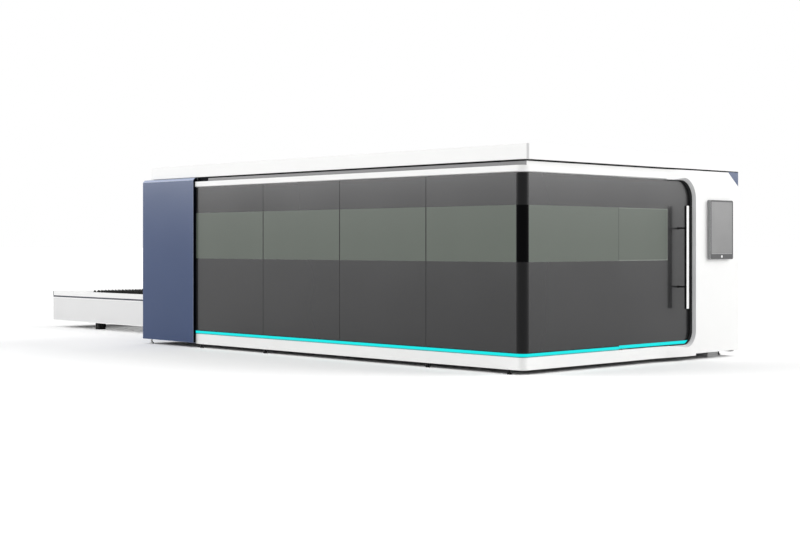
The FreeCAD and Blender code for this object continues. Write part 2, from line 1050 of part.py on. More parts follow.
def door_light_strip():
    return block(
        ("-door_setback - strip_depth", "end_seam - pane_tuck", "skirt_top + door_lift"),
        ("strip_depth", "door_right - end_seam + pane_tuck", "strip_height - door_lift"),
    )


def console_housing():
    """Flat console box on the column, with rounded corners, a screen recess and a button well."""
    owner = body(x="end_proud", y="console_left", z="console_bottom")
    outline = draw(
        owner,
        "YZ_Plane",
        [
            ("0", "0"),
            ("console_width", "0"),
            ("console_width", "console_height"),
            ("0", "console_height"),
        ],
    )
    solid = pad(owner, outline, "console_depth")
    fillet(owner, solid, lambda edge: along(edge, "x"), "console_corner")
    recess = draw(
        owner,
        "YZ_Plane",
        [
            ("screen_margin", "screen_chin"),
            ("console_width - screen_margin", "screen_chin"),
            ("console_width - screen_margin", "console_height - screen_margin"),
            ("screen_margin", "console_height - screen_margin"),
        ],
        lift="console_depth - screen_depth",
    )
    pocket(owner, recess, "screen_depth + 1", back=True)
    well = prism(
        "x",
        BUTTON_SIDES,
        (
            "end_proud + console_depth - button_height - button_travel",
            "console_left + console_width / 2",
            "console_bottom + screen_chin / 2",
        ),
        "button_radius + running_gap",
        "button_height + button_travel + 1",
    )
    return cut(owner, [well])


def console_screen():
    return block(
        (
            "end_proud + console_depth - screen_depth",
            "console_left + screen_margin",
            "console_bottom + screen_chin",
        ),
        (
            "screen_depth",
            "console_width - 2 * screen_margin",
            "console_height - screen_margin - screen_chin",
        ),
    )


def console_button():
    return prism(
        "x",
        BUTTON_SIDES,
        (
            "end_proud + console_depth - button_height",
            "console_left + console_width / 2",
            "console_bottom + screen_chin / 2",
        ),
        "button_radius",
        "button_height + button_travel",
    )


def portal_cheeks():
    """Blue folded pans on both sides of the portal, bevelled along the top."""
    cheeks = []
    top = "roof_bottom - portal_drop"
    for mid, sign in (("-portal_proud", "+"), ("hall_depth + portal_proud", "-")):

        def at(depth, level):
            return (f"{mid} {sign} ({depth})", level)

        ends = [
            at("0", "portal_bottom"),
            at("cheek_depth", "portal_bottom"),
            at("cheek_depth", top),
            at("cheek_bevel", top),
            at("0", f"{top} - cheek_bevel"),
        ]
        folded = [
            at("0", "portal_bottom"),
            at("cheek_depth", "portal_bottom"),
            at("cheek_depth", "portal_bottom + portal_skin"),
            at("portal_skin", "portal_bottom + portal_skin"),
            at("portal_skin", f"{top} - cheek_bevel - portal_skin / 2"),
            at("cheek_bevel + portal_skin / 2", f"{top} - portal_skin"),
            at("cheek_depth", f"{top} - portal_skin"),
            at("cheek_depth", top),
            at("cheek_bevel", top),
            at("0", f"{top} - cheek_bevel"),
        ]
        owner = body(x="-portal_end")
        pad(owner, draw(owner, "YZ_Plane", folded), "portal_length - seam / 2")
        pad(owner, draw(owner, "YZ_Plane", ends), "portal_skin")
        lift = "portal_length - seam / 2 - portal_skin"
        pad(owner, draw(owner, "YZ_Plane", ends, lift=lift), "portal_skin")
        cheeks.append(owner)
    return group(cheeks)


def portal_front():
    """Folded front wall between the cheeks, with the deep-edged entrance for both pallets."""
    low_y = "cheek_depth - portal_proud"
    wall = pan(
        ("-portal_end", low_y, "portal_bottom"),
        (
            "wall_depth",
            f"hall_depth - 2 * ({low_y})",
            "roof_bottom - portal_drop - portal_bottom",
        ),
        "x-",
        "portal_skin",
        "wall_return",
    )
    half = "(entrance_half + wall_return)"
    reveal = block(
        ("-portal_end", f"pallet_mid - {half}", "entrance_bottom - wall_return"),
        ("wall_depth", f"2 * {half}", "entrance_top - entrance_bottom + 2 * wall_return"),
    )
    entrance = block(
        ("-portal_end - 1", "pallet_mid - entrance_half", "entrance_bottom"),
        ("wall_depth + 2", "2 * entrance_half", "entrance_top - entrance_bottom"),
    )
    return cut(fuse([wall, reveal]), [entrance])


def entrance_gate():
    """Lifting gate, stored raised: a folded pan with its stiff ribs behind."""
    low_x, low_y, low_z = (
        "-gate_place - gate_depth",
        "pallet_mid - pallet_half + gate_trim",
        "entrance_top + gate_rise",
    )
    width = "2 * (pallet_half - gate_trim)"
    plate = pan(
        (low_x, low_y, low_z), ("gate_depth", width, "gate_height"), "x+", "panel_skin", "gate_rim"
    )
    ribs = [
        block((low_x, low_y, f"{low_z} + gate_height * {share}"), ("gate_depth", width, "gate_rib"))
        for share in ("1 / 3", "2 / 3")
    ]
    return fuse([plate, *ribs])


def gate_guides():
    """Two channels on the front wall that hold the gate's edges."""
    guides = []
    depth = "2 * guide_wall + 2 * running_gap + gate_depth"
    for side in ("near", "far"):
        if side == "near":
            edge = "pallet_mid - pallet_half + gate_trim"
            low_y, slot_y = f"{edge} - guide_back", f"{edge} - running_gap"
        else:
            edge = "pallet_mid + pallet_half - gate_trim"
            low_y, slot_y = f"{edge} - gate_lap", f"{edge} - gate_lap - 1"
        outer = block(
            ("-portal_end + wall_depth", low_y, "entrance_top + gate_rise"),
            (depth, "gate_lap + guide_back", "guide_height"),
        )
        slot = block(
            ("-portal_end + wall_depth + guide_wall", slot_y, "entrance_top + gate_rise - 1"),
            (
                "gate_depth + 2 * running_gap",
                "gate_lap + 1 + running_gap",
                "guide_height + 2",
            ),
        )
        guides.append(cut(outer, [slot]))
    return group(guides)


def far_panels():
    """White pans on the far side, behind the gantry; the last one has the extraction hole."""
    pans = []
    for index, (start, stop) in enumerate(BAYS[1:]):
        made = pan(
            (f"-({stop}) + seam / 2", "hall_depth - panel_depth", "skirt_top"),
            (f"({stop}) - ({start}) - seam", "panel_depth", "rail_top - skirt_top"),
            "y+",
            "panel_skin",
            "panel_edge",
        )
        if index == 2:
            made = cut(
                made,
                [
                    rod(
                        "y",
                        ("-collar_place", "hall_depth - panel_depth - 1", "collar_height"),
                        "collar_radius + collar_wall + seat",
                        "panel_depth + 2",
                    )
                ],
            )
        pans.append(made)
    return group(pans)


def extraction_collar():
    """Round spigot for the dust duct, with a square flange behind the far panel."""
    start_y = "hall_depth - panel_skin - seat - collar_flange"
    half = "(collar_radius + collar_rim)"
    spigot = rod(
        "y",
        ("-collar_place", start_y, "collar_height"),
        "collar_radius + collar_wall",
        "collar_length",
    )
    flange = block(
        (f"-collar_place - {half}", start_y, f"collar_height - {half}"),
        (f"2 * {half}", "collar_flange", f"2 * {half}"),
    )
    bore = rod(
        "y",
        ("-collar_place", f"{start_y} - 1", "collar_height"),
        "collar_radius",
        "collar_length + 2",
    )
    return cut(fuse([spigot, flange]), [bore])


def cabinet_door(side):
    """White cabinet door: a pan with two hinge knuckles and a fixed pull grip."""
    if side == "left":
        low_x = "far_door_left"
        line = leaf_x = "far_door_left - hinge_gap / 2"
        grip_x = "far_door_left + far_door_width - grip_inset - grip_width"
    else:
        low_x = "far_door_right - far_door_width"
        line = "far_door_right + hinge_gap / 2"
        leaf_x = f"{line} - hinge_leaf"
        grip_x = f"{low_x} + grip_inset"
    door = pan(
        (low_x, "hall_depth - panel_depth", "skirt_top + door_gap"),
        ("far_door_width", "panel_depth", "rail_top - skirt_top - 2 * door_gap"),
        "y+",
        "panel_skin",
        "door_rim",
    )
    parts = [door]
    holes = []
    for level in hinge_levels():
        parts.append(
            block(
                (leaf_x, "hall_depth", f"{level} + seat"),
                ("hinge_leaf", "hinge_strap", "hinge_length"),
            )
        )
        knuckle_low = (line, "hinge_line", f"{level} + seat")
        parts.append(prism("z", KNUCKLE_SIDES, knuckle_low, "hinge_radius", "hinge_length"))
        holes.append(rod("z", (line, "hinge_line", level), "hinge_pin + hinge_fit", "hinge_length"))
    for low_z in ("grip_level", "grip_level + grip_height - grip_leg"):
        parts.append(block((grip_x, "hall_depth", low_z), ("grip_width", "grip_reach", "grip_leg")))
    parts.append(
        block(
            (grip_x, "hall_depth + grip_reach", "grip_level"),
            ("grip_width", "grip_width / 2", "grip_height"),
        )
    )
    return cut(fuse(parts), holes)


# rows of control units from the top down: rise over the plinth, then width, depth and height
UNIT_ROWS = ((1180, 270, 170, 320), (760, 240, 130, 240), (330, 210, 210, 260))
UNIT_COLUMNS = 3


def electrical_cabinet():
    """Box behind the cabinet doors, open towards them, on a recessed plinth."""
    low_x = "-first_bay + post_side / 2"
    low_y = "hall_depth - panel_depth - cabinet_gap - cabinet_depth"
    width = "first_bay - frame_back - 1.5 * post_side"
    height = "panel_top - cabinet_plinth"
    shell = cut(
        block((low_x, low_y, "cabinet_plinth"), (width, "cabinet_depth", height)),
        [
            block(
                (
                    f"{low_x} + cabinet_wall",
                    f"{low_y} + cabinet_wall",
                    "cabinet_plinth + cabinet_wall",
                ),
                (f"{width} - 2 * cabinet_wall", "cabinet_depth", f"{height} - 2 * cabinet_wall"),
            )
        ],
    )
    board = block(
        (f"{low_x} + board_inset", f"{low_y} + cabinet_wall", "cabinet_plinth + board_rise"),
        (f"{width} - 2 * board_inset", "board_sheet", f"{height} - 2 * board_rise"),
    )
    units = []
    for rise, *unit in UNIT_ROWS:
        for column in range(UNIT_COLUMNS):
            units.append(
                block(
                    (
                        f"{low_x} + unit_inset + {column} * unit_pitch",
                        f"{low_y} + cabinet_wall + board_sheet",
                        f"cabinet_plinth + {rise}",
                    ),
                    unit,
                )
            )
    plinth = block(
        (f"{low_x} + plinth_inset", f"{low_y} + plinth_inset", "0"),
        (
            f"{width} - 2 * plinth_inset",
            "cabinet_depth - plinth_inset - plinth_setback",
            "cabinet_plinth",
        ),
    )
    return fuse([shell, board, plinth, *units])


def laser_source():
    """Laser source: a cabinet with bevelled corners on four square feet."""
    mid_x = "-first_bay - bay_pitch / 2"
    owner = body(
        x=f"{mid_x} - laser_length / 2",
        y="laser_line - laser_depth / 2",
        z="laser_rise",
    )
    outline = draw(
        owner,
        "XY_Plane",
        [
            ("0", "0"),
            ("laser_length", "0"),
            ("laser_length", "laser_depth"),
            ("0", "laser_depth"),
        ],
    )
    solid = pad(owner, outline, "laser_height")
    bevel(owner, solid, lambda edge: along(edge, "z"), "laser_bevel")
    feet = [
        block(
            (
                f"{mid_x} {sign_x} (laser_length / 2 - laser_foot_inset) - laser_foot / 2",
                f"laser_line {sign_y} (laser_depth / 2 - laser_foot_setback) - laser_foot / 2",
                "0",
            ),
            ("laser_foot", "laser_foot", "laser_rise + 1"),
        )
        for sign_x in "+-"
        for sign_y in "+-"
    ]
    return fuse([owner, *feet])


def bed_beam(side):
    """Welded bed beam: a tall tube along one side of the pallets' path."""
    low_y = "pallet_mid - bed_inside - beam_width" if side == "near" else "pallet_mid + bed_inside"
    tube = cut(
        block(
            ("-bed_start", low_y, "beam_bottom"),
            ("bed_length", "beam_width", "beam_top - beam_bottom"),
        ),
        [
            block(
                ("-bed_start - 1", f"{low_y} + beam_wall", "beam_bottom + beam_wall"),
                (
                    "bed_length + 2",
                    "beam_width - 2 * beam_wall",
                    "beam_top - beam_bottom - 2 * beam_wall",
                ),
            )
        ],
    )
    return tube


CROSS_MEMBERS = 4


def bed_cross_members():
    """Low tubes across the bed, evenly spaced between its ends."""
    spacing = f"(bed_length - cross_width - 2 * cross_inset) / {CROSS_MEMBERS - 1}"
    return group(
        [
            block(
                (
                    f"-bed_start + cross_inset + {index} * {spacing}",
                    "pallet_mid - bed_inside",
                    "beam_bottom",
                ),
                (
                    "cross_width",
                    "2 * bed_inside",
                    "track_level - level_drop - track_leg - seat - beam_bottom",
                ),
            )
            for index in range(CROSS_MEMBERS)
        ]
    )


def guide_rails():
    """Linear rails on the bed beams, with a rack beside each one."""
    start = "-bed_start + rail_inset"
    length = "bed_length - 2 * rail_inset"
    rails = []
    for sign in "-+":
        rails.append(
            block(
                (start, f"pallet_mid {sign} rail_line - rail_width / 2", "beam_top"),
                (length, "rail_width", "rail_rise"),
            )
        )
        rack_low = f"pallet_mid {sign} (rail_line + rack_offset) - rack_side / 2"
        rails.append(block((start, rack_low, "beam_top"), (length, "rack_side", "rack_side")))
    return group(rails)


def angle(start, length, wall, reach, level, side):
    """An angle rail: a wall leg, and a flat leg that the wheels run on."""
    low_flat = f"pallet_mid - ({reach})" if side == "near" else f"pallet_mid + ({wall})"
    low_leg = low_flat if side == "near" else f"pallet_mid + ({reach}) - track_sheet"
    flat = block(
        (start, low_flat, f"{level} - track_sheet"),
        (length, f"({reach}) - ({wall})", "track_sheet"),
    )
    leg = block((start, low_leg, f"{level} - track_leg"), (length, "track_sheet", "track_leg"))
    return fuse([flat, leg])


def pallet_tracks():
    """Two levels of angle rails on each side, along the bed and along the table."""
    tracks = []
    wall = "wheel_inside - track_edge"
    for side in ("near", "far"):
        for drop in ("0", "level_drop"):
            level = f"track_level - {drop}"
            tracks.append(angle("-bed_start", "bed_length", wall, "bed_inside", level, side))
            tracks.append(
                angle(
                    "-table_end + deck_length",
                    "table_end - deck_length - bed_start - track_joint",
                    wall,
                    "table_width / 2 - side_wall",
                    level,
                    side,
                )
            )
    return group(tracks)


def pallet_frame(start, drop, lug_low):
    """Pallet frame: side members with axle holes, end and cross members, ledges for the slats."""
    low_x = f"-({start})"
    bottom = f"frame_bottom - {drop}"
    inner = "pallet_half - pallet_member"
    parts = []
    for low_y in ("pallet_mid - pallet_half", f"pallet_mid + {inner}"):
        parts.append(
            block((low_x, low_y, bottom), ("pallet_length", "pallet_member", "pallet_depth"))
        )
    for shift in ("0", "pallet_length - pallet_member"):
        parts.append(
            block(
                (f"{low_x} + {shift}", f"pallet_mid - ({inner})", bottom),
                ("pallet_member", f"2 * ({inner})", "pallet_depth"),
            )
        )
    ledge_low = f"ledge_top - ledge_thickness - {drop}"
    for shift in ("-cross_spacing", "0", "cross_spacing"):
        parts.append(
            block(
                (
                    f"{low_x} + pallet_length / 2 + {shift} - cross_member / 2",
                    f"pallet_mid - ({inner})",
                    bottom,
                ),
                ("cross_member", f"2 * ({inner})", f"({ledge_low}) - ({bottom})"),
            )
        )
    for low_y in (
        f"pallet_mid - ({inner})",
        "pallet_mid - ledge_width / 2",
        f"pallet_mid + ({inner}) - ledge_width",
    ):
        parts.append(
            block(
                (f"{low_x} + pallet_member - 1", low_y, ledge_low),
                ("pallet_length - 2 * pallet_member + 2", "ledge_width", "ledge_thickness"),
            )
        )
    for low_y in ("pallet_mid - chain_line - chain_width / 2", "pallet_mid + pallet_half - 1"):
        parts.append(
            block(
                (f"{low_x} + pallet_length / 2 - tow_lug / 2", low_y, lug_low),
                (
                    "tow_lug",
                    "chain_line + chain_width / 2 - pallet_half + 1",
                    f"axle_level - axle_radius - {drop} - ({lug_low})",
                ),
            )
        )
    holes = [
        rod(
            "y",
            (
                f"{low_x} + pallet_length / 2 {sign} wheel_base / 2",
                "pallet_mid - pallet_half - 1",
                f"axle_level - {drop}",
            ),
            "axle_radius + axle_clearance",
            "2 * pallet_half + 2",
        )
        for sign in "-+"
    ]
    return cut(fuse(parts), holes)


def pallet_slats(start, drop):
    """A row of upright slats with pointed teeth, standing on the pallet's ledges."""
    half = "(pallet_half - pallet_member)"
    owner = body(x=f"-({start}) + slat_start", y="pallet_mid", z=f"ledge_top - {drop}")
    tip = "(table_top - ledge_top)"
    valley = "(table_top - ledge_top - tooth_depth)"
    points = [(f"-{half}", "0"), (half, "0"), (half, valley)]
    for tooth in range(TEETH):
        points.append((f"{half} * (1 - {2 * tooth + 1} / {TEETH})", tip))
        points.append((f"{half} * (1 - {2 * tooth + 2} / {TEETH})", valley))
    outline = draw(owner, "YZ_Plane", points)
    slat = pad(owner, outline, "slat_thickness")
    row = owner.newObject("PartDesign::LinearPattern", "row")
    row.Originals = [slat]
    row.Direction = (plane(owner, "X_Axis"), [""])
    row.Mode = "Spacing"
    bind(row, "Offset", "slat_pitch")
    bind(row, "Occurrences", "slat_gaps + 1")
    owner.Tip = row
    return owner


def wheelset(start, sign, drop):
    """Through axle with a plain wheel at each end, outside the pallet's side members."""
    x = f"-({start}) + pallet_length / 2 {sign} wheel_base / 2"
    level = f"axle_level - {drop}"
    axle = rod("y", (x, "pallet_mid - wheel_outside", level), "axle_radius", "2 * wheel_outside")
    wheels = [
        prism("y", WHEEL_SIDES, (x, low_y, level), "wheel_radius", "wheel_width")
        for low_y in ("pallet_mid - wheel_outside", "pallet_mid + wheel_inside")
    ]
    return fuse([axle, *wheels])


def sprocket_shaft(x, half):
    """Cross shaft with a notched sprocket in each chain's plane."""
    shaft = rod("y", (x, f"pallet_mid - ({half})", "shaft_level"), "shaft_radius", f"2 * ({half})")
    parts = [shaft]
    for sign in "-+":
        low_y = f"pallet_mid {sign} chain_line"
        owner = body(x=x, y=low_y, z="shaft_level")
        points = []
        for index in range(NOTCHES):
            tip = 360 * index / NOTCHES
            root = 360 * (index + 0.5) / NOTCHES
            valley = "(sprocket_radius - tooth_notch)"
            for turn, radius in ((tip, "sprocket_radius"), (root, valley)):
                points.append((f"{radius} * cos({turn} deg)", f"{radius} * sin({turn} deg)"))
        outline = draw(owner, "XZ_Plane", points, lift="-sprocket_width / 2")
        pad(owner, outline, "sprocket_width")
        parts.append(owner)
    return fuse(parts)


def transfer_chains():
    """Two endless chains: two straight runs each, and a bend of links round either sprocket."""
    parts = []
    for sign in "-+":
        low_y = f"pallet_mid {sign} chain_line - chain_width / 2"
        for low_z in ("shaft_level + chain_inside", "shaft_level - chain_outside"):
            parts.append(
                block(
                    ("-drive_place + link_gap", low_y, low_z),
                    ("drive_place - idler_place - 2 * link_gap", "chain_width", "chain_height"),
                )
            )
        for x, inner_x in (
            ("-drive_place", "-drive_place"),
            ("-idler_place", "-idler_place - chain_outside - 1"),
        ):
            outer = prism("y", CHAIN_SIDES, (x, low_y, "shaft_level"), "chain_outside", "chain_width")
            centre = (x, f"{low_y} - 1", "shaft_level")
            inner = prism("y", CHAIN_SIDES, centre, "chain_inside", "chain_width + 2")
            half = block(
                (inner_x, f"{low_y} - 1", "shaft_level - chain_outside - 1"),
                ("chain_outside + 1", "chain_width + 2", "2 * chain_outside + 2"),
            )
            parts.append(cut(outer, [inner, half]))
    return group(parts)


def drive_gearmotor():
    """Gearbox hung on the drive shaft, with its motor beside it."""
    half = "gearbox_side / 2"
    box = block(
        (f"-drive_place - {half} - gearbox_lip", f"pallet_mid - {half}", f"shaft_level - {half}"),
        ("gearbox_side + gearbox_lip", "gearbox_side", "gearbox_side"),
    )
    bore = rod(
        "y",
        ("-drive_place", f"pallet_mid - {half} - 1", "shaft_level"),
        "shaft_radius + bore_gap",
        "gearbox_side + 2",
    )
    motor_x = f"-drive_place - {half} - gearbox_lip / 2 - motor_radius / 2"
    motor = prism(
        "y",
        MOTOR_SIDES,
        (motor_x, f"pallet_mid + {half} - 1", "shaft_level"),
        "motor_radius",
        "motor_length + 1",
    )
    torque_arm = block(
        (
            "-table_end + cover_sheet",
            "pallet_mid - arm_width / 2",
            "shaft_level - arm_height / 2",
        ),
        (f"drive_setback - cover_sheet - {half} - gearbox_lip + 1", "arm_width", "arm_height"),
    )
    return cut(fuse([box, motor, torque_arm]), [bore])


def side_frame(side):
    """Folded table side: the white band with a lip, its groove, a web and a foot flange."""
    sign = "" if side == "near" else "-"
    outer = "-table_width / 2" if side == "near" else "table_width / 2"

    def out(words):
        """A distance inwards from the table's outer face."""
        return f"{outer} + ({words})" if sign == "" else f"{outer} - ({words})"

    band_low = "table_top - beam_band"
    owner = body(x="-table_end + cover_sheet", y="pallet_mid")
    outline = draw(
        owner,
        "YZ_Plane",
        [
            (out("0"), "table_top"),
            (out("0"), band_low),
            (out("cover_sheet"), band_low),
            (out("cover_sheet"), "cover_bottom"),
            (out("foot_flange"), "cover_bottom"),
            (out("foot_flange"), "cover_bottom + side_wall"),
            (out("side_wall"), "cover_bottom + side_wall"),
            (out("side_wall"), "table_top - side_wall"),
            (out("side_lip - side_wall"), "table_top - side_wall"),
            (out("side_lip - side_wall"), "table_top - lip_height"),
            (out("side_lip"), "table_top - lip_height"),
            (out("side_lip"), "table_top"),
        ],
    )
    pad(owner, outline, "table_reach - cover_sheet - portal_play")
    return owner


def table_side_beams():
    return group([side_frame("near"), side_frame("far")])


def table_covers():
    """Light-grey sheets below the navy stripe, on both sides and round the outer end."""
    height = "table_top - beam_band - stripe_band - cover_bottom"
    length = "table_reach - cover_sheet - portal_play"
    sheets = [
        block(
            ("-table_end + cover_sheet", low_y, "cover_bottom"), (length, "cover_sheet", height)
        )
        for low_y in ("table_side", "table_side + table_width - cover_sheet")
    ]
    end = block(
        ("-table_end", "table_side", "cover_bottom"), ("cover_sheet", "table_width", height)
    )
    groove = block(
        ("-table_end + cover_sheet / 2", "table_side + cover_sheet", "cover_bottom"),
        ("cover_sheet / 2", "table_width - 2 * cover_sheet", f"{height} + stripe_band"),
    )
    return fuse([end, groove, *sheets])


def table_deck():
    """White deck over the drive, folded down at the outer end and in front of the pallet."""
    low_y = "table_side + side_lip"
    width = "table_width - 2 * side_lip"
    top = block(
        ("-table_end + cover_sheet", low_y, "table_top - deck_sheet"),
        ("deck_length - cover_sheet", width, "deck_sheet"),
    )
    front = block(
        ("-table_end", "table_side", "table_top - beam_band"),
        ("cover_sheet", "table_width", "beam_band"),
    )
    back = block(
        ("-table_end + deck_length - deck_sheet", low_y, "table_top - beam_band"),
        ("deck_sheet", width, "beam_band"),
    )
    return fuse([top, front, back])


def table_feet():
    """Square black feet with a stub post up to the side frame's flange."""
    feet = []
    for x in ("-table_end + foot_inset", "-portal_end - foot_setback"):
        for low_y in (
            "table_side + foot_flange - foot_side",
            "table_side + table_width - foot_flange",
        ):
            feet.append(
                block(
                    (f"{x} - foot_side / 2", low_y, "0"),
                    ("foot_side", "foot_side", "cover_bottom"),
                )
            )
    return group(feet)


# heights of the gantry's two guide rails over the beam's underside
GUIDE_LEVELS = ("guide_inset", "gantry_height - guide_inset - guide_width")


def gantry_beam():
    """Box beam across the bed: a chamfered hollow section, with two guide rails on its face."""
    half = "gantry_depth / 2"
    side = "gantry_chamfer"
    low_y = "pallet_mid - rail_line - gantry_overhang"
    owner = body(x="-gantry_rest", y=low_y, z="gantry_bottom")

    def section(inset):
        low, high = f"-({half}) + {inset}", f"{half} - {inset}"
        top = f"gantry_height - {inset}"
        return [
            (f"{low} + {side}", inset),
            (high, inset),
            (high, top),
            (f"{low} + {side}", top),
            (low, f"{top} - {side}"),
            (low, f"{inset} + {side}"),
        ]

    outline = draw(owner, "XZ_Plane", section("0"))
    pad(owner, outline, "2 * (rail_line + gantry_overhang)", back=True)
    core = draw(owner, "XZ_Plane", section("gantry_wall"), lift="1")
    pocket(owner, core, "2 * (rail_line + gantry_overhang) + 2")
    rails = [
        block(
            (
                "-gantry_rest + gantry_depth / 2 - 1",
                "pallet_mid - cross_travel / 2 - carriage_width / 2 - guide_past",
                f"gantry_bottom + {rise}",
            ),
            ("guide_rise + 1", "cross_travel + carriage_width + 2 * guide_past", "guide_width"),
        )
        for rise in GUIDE_LEVELS
    ]
    return fuse([owner, *rails])


def gantry_saddles():
    """Two saddles that straddle the bed's rails, each with its drive motor."""
    saddles = []
    for sign in "-+":
        low_y = f"pallet_mid {sign} rail_line - saddle_width / 2"
        solid = block(
            ("-gantry_rest - saddle_length / 2", low_y, "gantry_bottom - saddle_height"),
            ("saddle_length", "saddle_width", "saddle_height"),
        )
        slot = block(
            (
                "-gantry_rest - saddle_length / 2 - 1",
                f"pallet_mid {sign} rail_line - rail_width / 2 - running_gap",
                "gantry_bottom - saddle_height - 1",
            ),
            (
                "saddle_length + 2",
                "rail_width + 2 * running_gap",
                "beam_top + rail_rise + running_gap - gantry_bottom + saddle_height + 1",
            ),
        )
        rack_slot = block(
            (
                "-gantry_rest - saddle_length / 2 - 1",
                f"pallet_mid {sign} (rail_line + rack_offset) - rack_side / 2 - rack_clear",
                "gantry_bottom - saddle_height - 1",
            ),
            (
                "saddle_length + 2",
                "rack_side + 2 * rack_clear",
                "beam_top + rack_side + servo_gap / 2 - gantry_bottom + saddle_height + 1",
            ),
        )
        motor = block(
            (
                "-gantry_rest - gantry_depth / 2 - servo_side - servo_gap",
                f"pallet_mid {sign} rail_line - servo_side / 2",
                "gantry_bottom - 1",
            ),
            ("servo_side", "servo_side", "servo_height"),
        )
        saddles.append(fuse([cut(solid, [slot, rack_slot]), motor]))
    return group(saddles)


def head_carriage():
    """Carriage plate that grips the beam's two guide rails, with a channel for the Z slide."""
    face = "-gantry_rest + gantry_depth / 2"
    back = f"{face} + guide_rise + running_gap"
    mid = "pallet_mid - cross_travel / 2"
    bottom = "gantry_bottom - carriage_past"
    height = "gantry_height + 2 * carriage_past"
    plate = block(
        (back, f"{mid} - carriage_width / 2", bottom),
        ("carriage_plate", "carriage_width", height),
    )
    parts = [plate]
    depth = "guide_rise + running_gap - grip_clear + 1"
    for rise in GUIDE_LEVELS:
        low_z = f"gantry_bottom + {rise}"
        for shift in ("-carriage_width / 2", "carriage_width / 2 - grip_block"):
            grip = block(
                (f"{face} + grip_clear", f"{mid} + {shift}", f"{low_z} - grip_wall"),
                (depth, "grip_block", "guide_width + 2 * grip_wall"),
            )
            groove = block(
                (f"{face} + grip_clear - 1", f"{mid} + {shift} - 1", f"{low_z} - running_gap"),
                (depth, "grip_block + 2", "guide_width + 2 * running_gap"),
            )
            parts.append(cut(grip, [groove]))
    for shift in ("-slide_width / 2 - gib_width - running_gap", "slide_width / 2 + running_gap"):
        parts.append(
            block(
                (f"{back} + carriage_plate - 1", f"{mid} + {shift}", bottom),
                ("slide_plate + 1", "gib_width", height),
            )
        )
    motor = block(
        (back, f"{mid} - z_motor_side / 2", f"{bottom} + {height} - 1"),
        ("z_motor_side", "z_motor_side", "z_motor_height"),
    )
    parts.append(motor)
    return fuse(parts)


def slide_face():
    """The front face of the Z slide, from the hall's end."""
    return (
        "-gantry_rest + gantry_depth / 2 + guide_rise + 2 * running_gap"
        " + carriage_plate + slide_plate"
    )


def z_slide():
    """Plate that runs down the carriage's channel, with the mounting plate that holds the head."""
    mid = "pallet_mid - cross_travel / 2"
    low_z = "gantry_bottom + gantry_height - slide_height"
    plate = block(
        (f"{slide_face()} - slide_plate", f"{mid} - slide_width / 2", low_z),
        ("slide_plate", "slide_width", "slide_height"),
    )
    mount = block(
        (f"{slide_face()} - 1", f"{mid} - head_side / 2", f"{low_z} + mount_rise"),
        ("mount_plate + 1", "head_side", "mount_height"),
    )
    return fuse([plate, mount])


def taper(low, lower, upper, height):
    """A square form that widens upwards: the middle of its low end, and half of either width."""
    made = DOC.addObject("Part::Wedge", "taper")
    for axis in "XZ":
        bind(made, axis + "min", f"-({lower})")
        bind(made, axis + "max", lower)
        bind(made, axis + "2min", f"-({upper})")
        bind(made, axis + "2max", upper)
    bind(made, "Ymin", "0")
    bind(made, "Ymax", height)
    upright = FreeCAD.Rotation(FreeCAD.Vector(1, 0, 0), 90)
    made.Placement = FreeCAD.Placement(FreeCAD.Vector(), upright)
    place(made, *low)
    return made


def cutting_head():
    """Cutting head: a square body with bevelled corners, a taper, its nozzle and a lens drawer."""
    x = f"{slide_face()} + mount_plate + seat + head_side / 2"
    mid = "pallet_mid - cross_travel / 2"
    casing_low = "head_rest + nozzle_height + taper_height"
    casing = body(x=x, y=mid, z=casing_low)
    outline = draw(
        casing,
        "XY_Plane",
        [
            ("-head_side / 2", "-head_side / 2"),
            ("head_side / 2", "-head_side / 2"),
            ("head_side / 2", "head_side / 2"),
            ("-head_side / 2", "head_side / 2"),
        ],
    )
    solid = pad(casing, outline, "head_height - nozzle_height - taper_height")
    bevel(casing, solid, lambda edge: along(edge, "z"), "head_bevel")
    parts = [
        casing,
        taper(
            (x, mid, "head_rest + nozzle_height"), "taper_bottom", "taper_top", "taper_height + 1"
        ),
        rod(
            "z",
            (x, mid, "head_rest + tip_height"),
            "nozzle_radius",
            "nozzle_height - tip_height + 1",
        ),
        prism("z", TIP_SIDES, (x, mid, "head_rest"), "tip_radius", "tip_height + 1"),
        rod("z", (x, mid, "head_rest + head_height - 1"), "inlet_radius", "inlet_height + 1"),
        block(
            (
                f"{x} + head_side / 2 - 1",
                f"{mid} - drawer_width / 2",
                f"{casing_low} + drawer_height",
            ),
            ("drawer_proud + 1", "drawer_width", "drawer_height"),
        ),
    ]
    return fuse(parts)


def levelling_feet():
    """Eight-sided pads on hexagonal studs, under the plinth's flange and the bed beams."""
    feet = []

    def foot(x, y, height):
        rise = f"{height} - pad_height + 1"
        low = prism("z", PAD_SIDES, (x, y, "0"), "pad_radius", "pad_height")
        stud = prism("z", STUD_SIDES, (x, y, "pad_height - 1"), "stud_radius", rise)
        feet.append(fuse([low, stud]))

    for x in (
        "-corner_foot_inset",
        "-first_bay",
        "-first_bay - 2 * bay_pitch",
        "-portal_start + portal_foot_inset",
    ):
        foot(x, "skirt_foot / 2", "floor_gap")
        foot(x, "hall_depth - skirt_foot / 2", "floor_gap")
    post_x = "-portal_end + wall_depth + post_side / 2"
    for post_y in ("panel_depth + post_depth / 2", "hall_depth - panel_depth - post_depth / 2"):
        foot(post_x, post_y, "portal_bottom")
    for x in ("-bed_end - bed_foot_inset", "-bed_start + bed_foot_inset"):
        for sign in "-+":
            foot(x, f"pallet_mid {sign} rail_line", "beam_bottom")
    return group(feet)


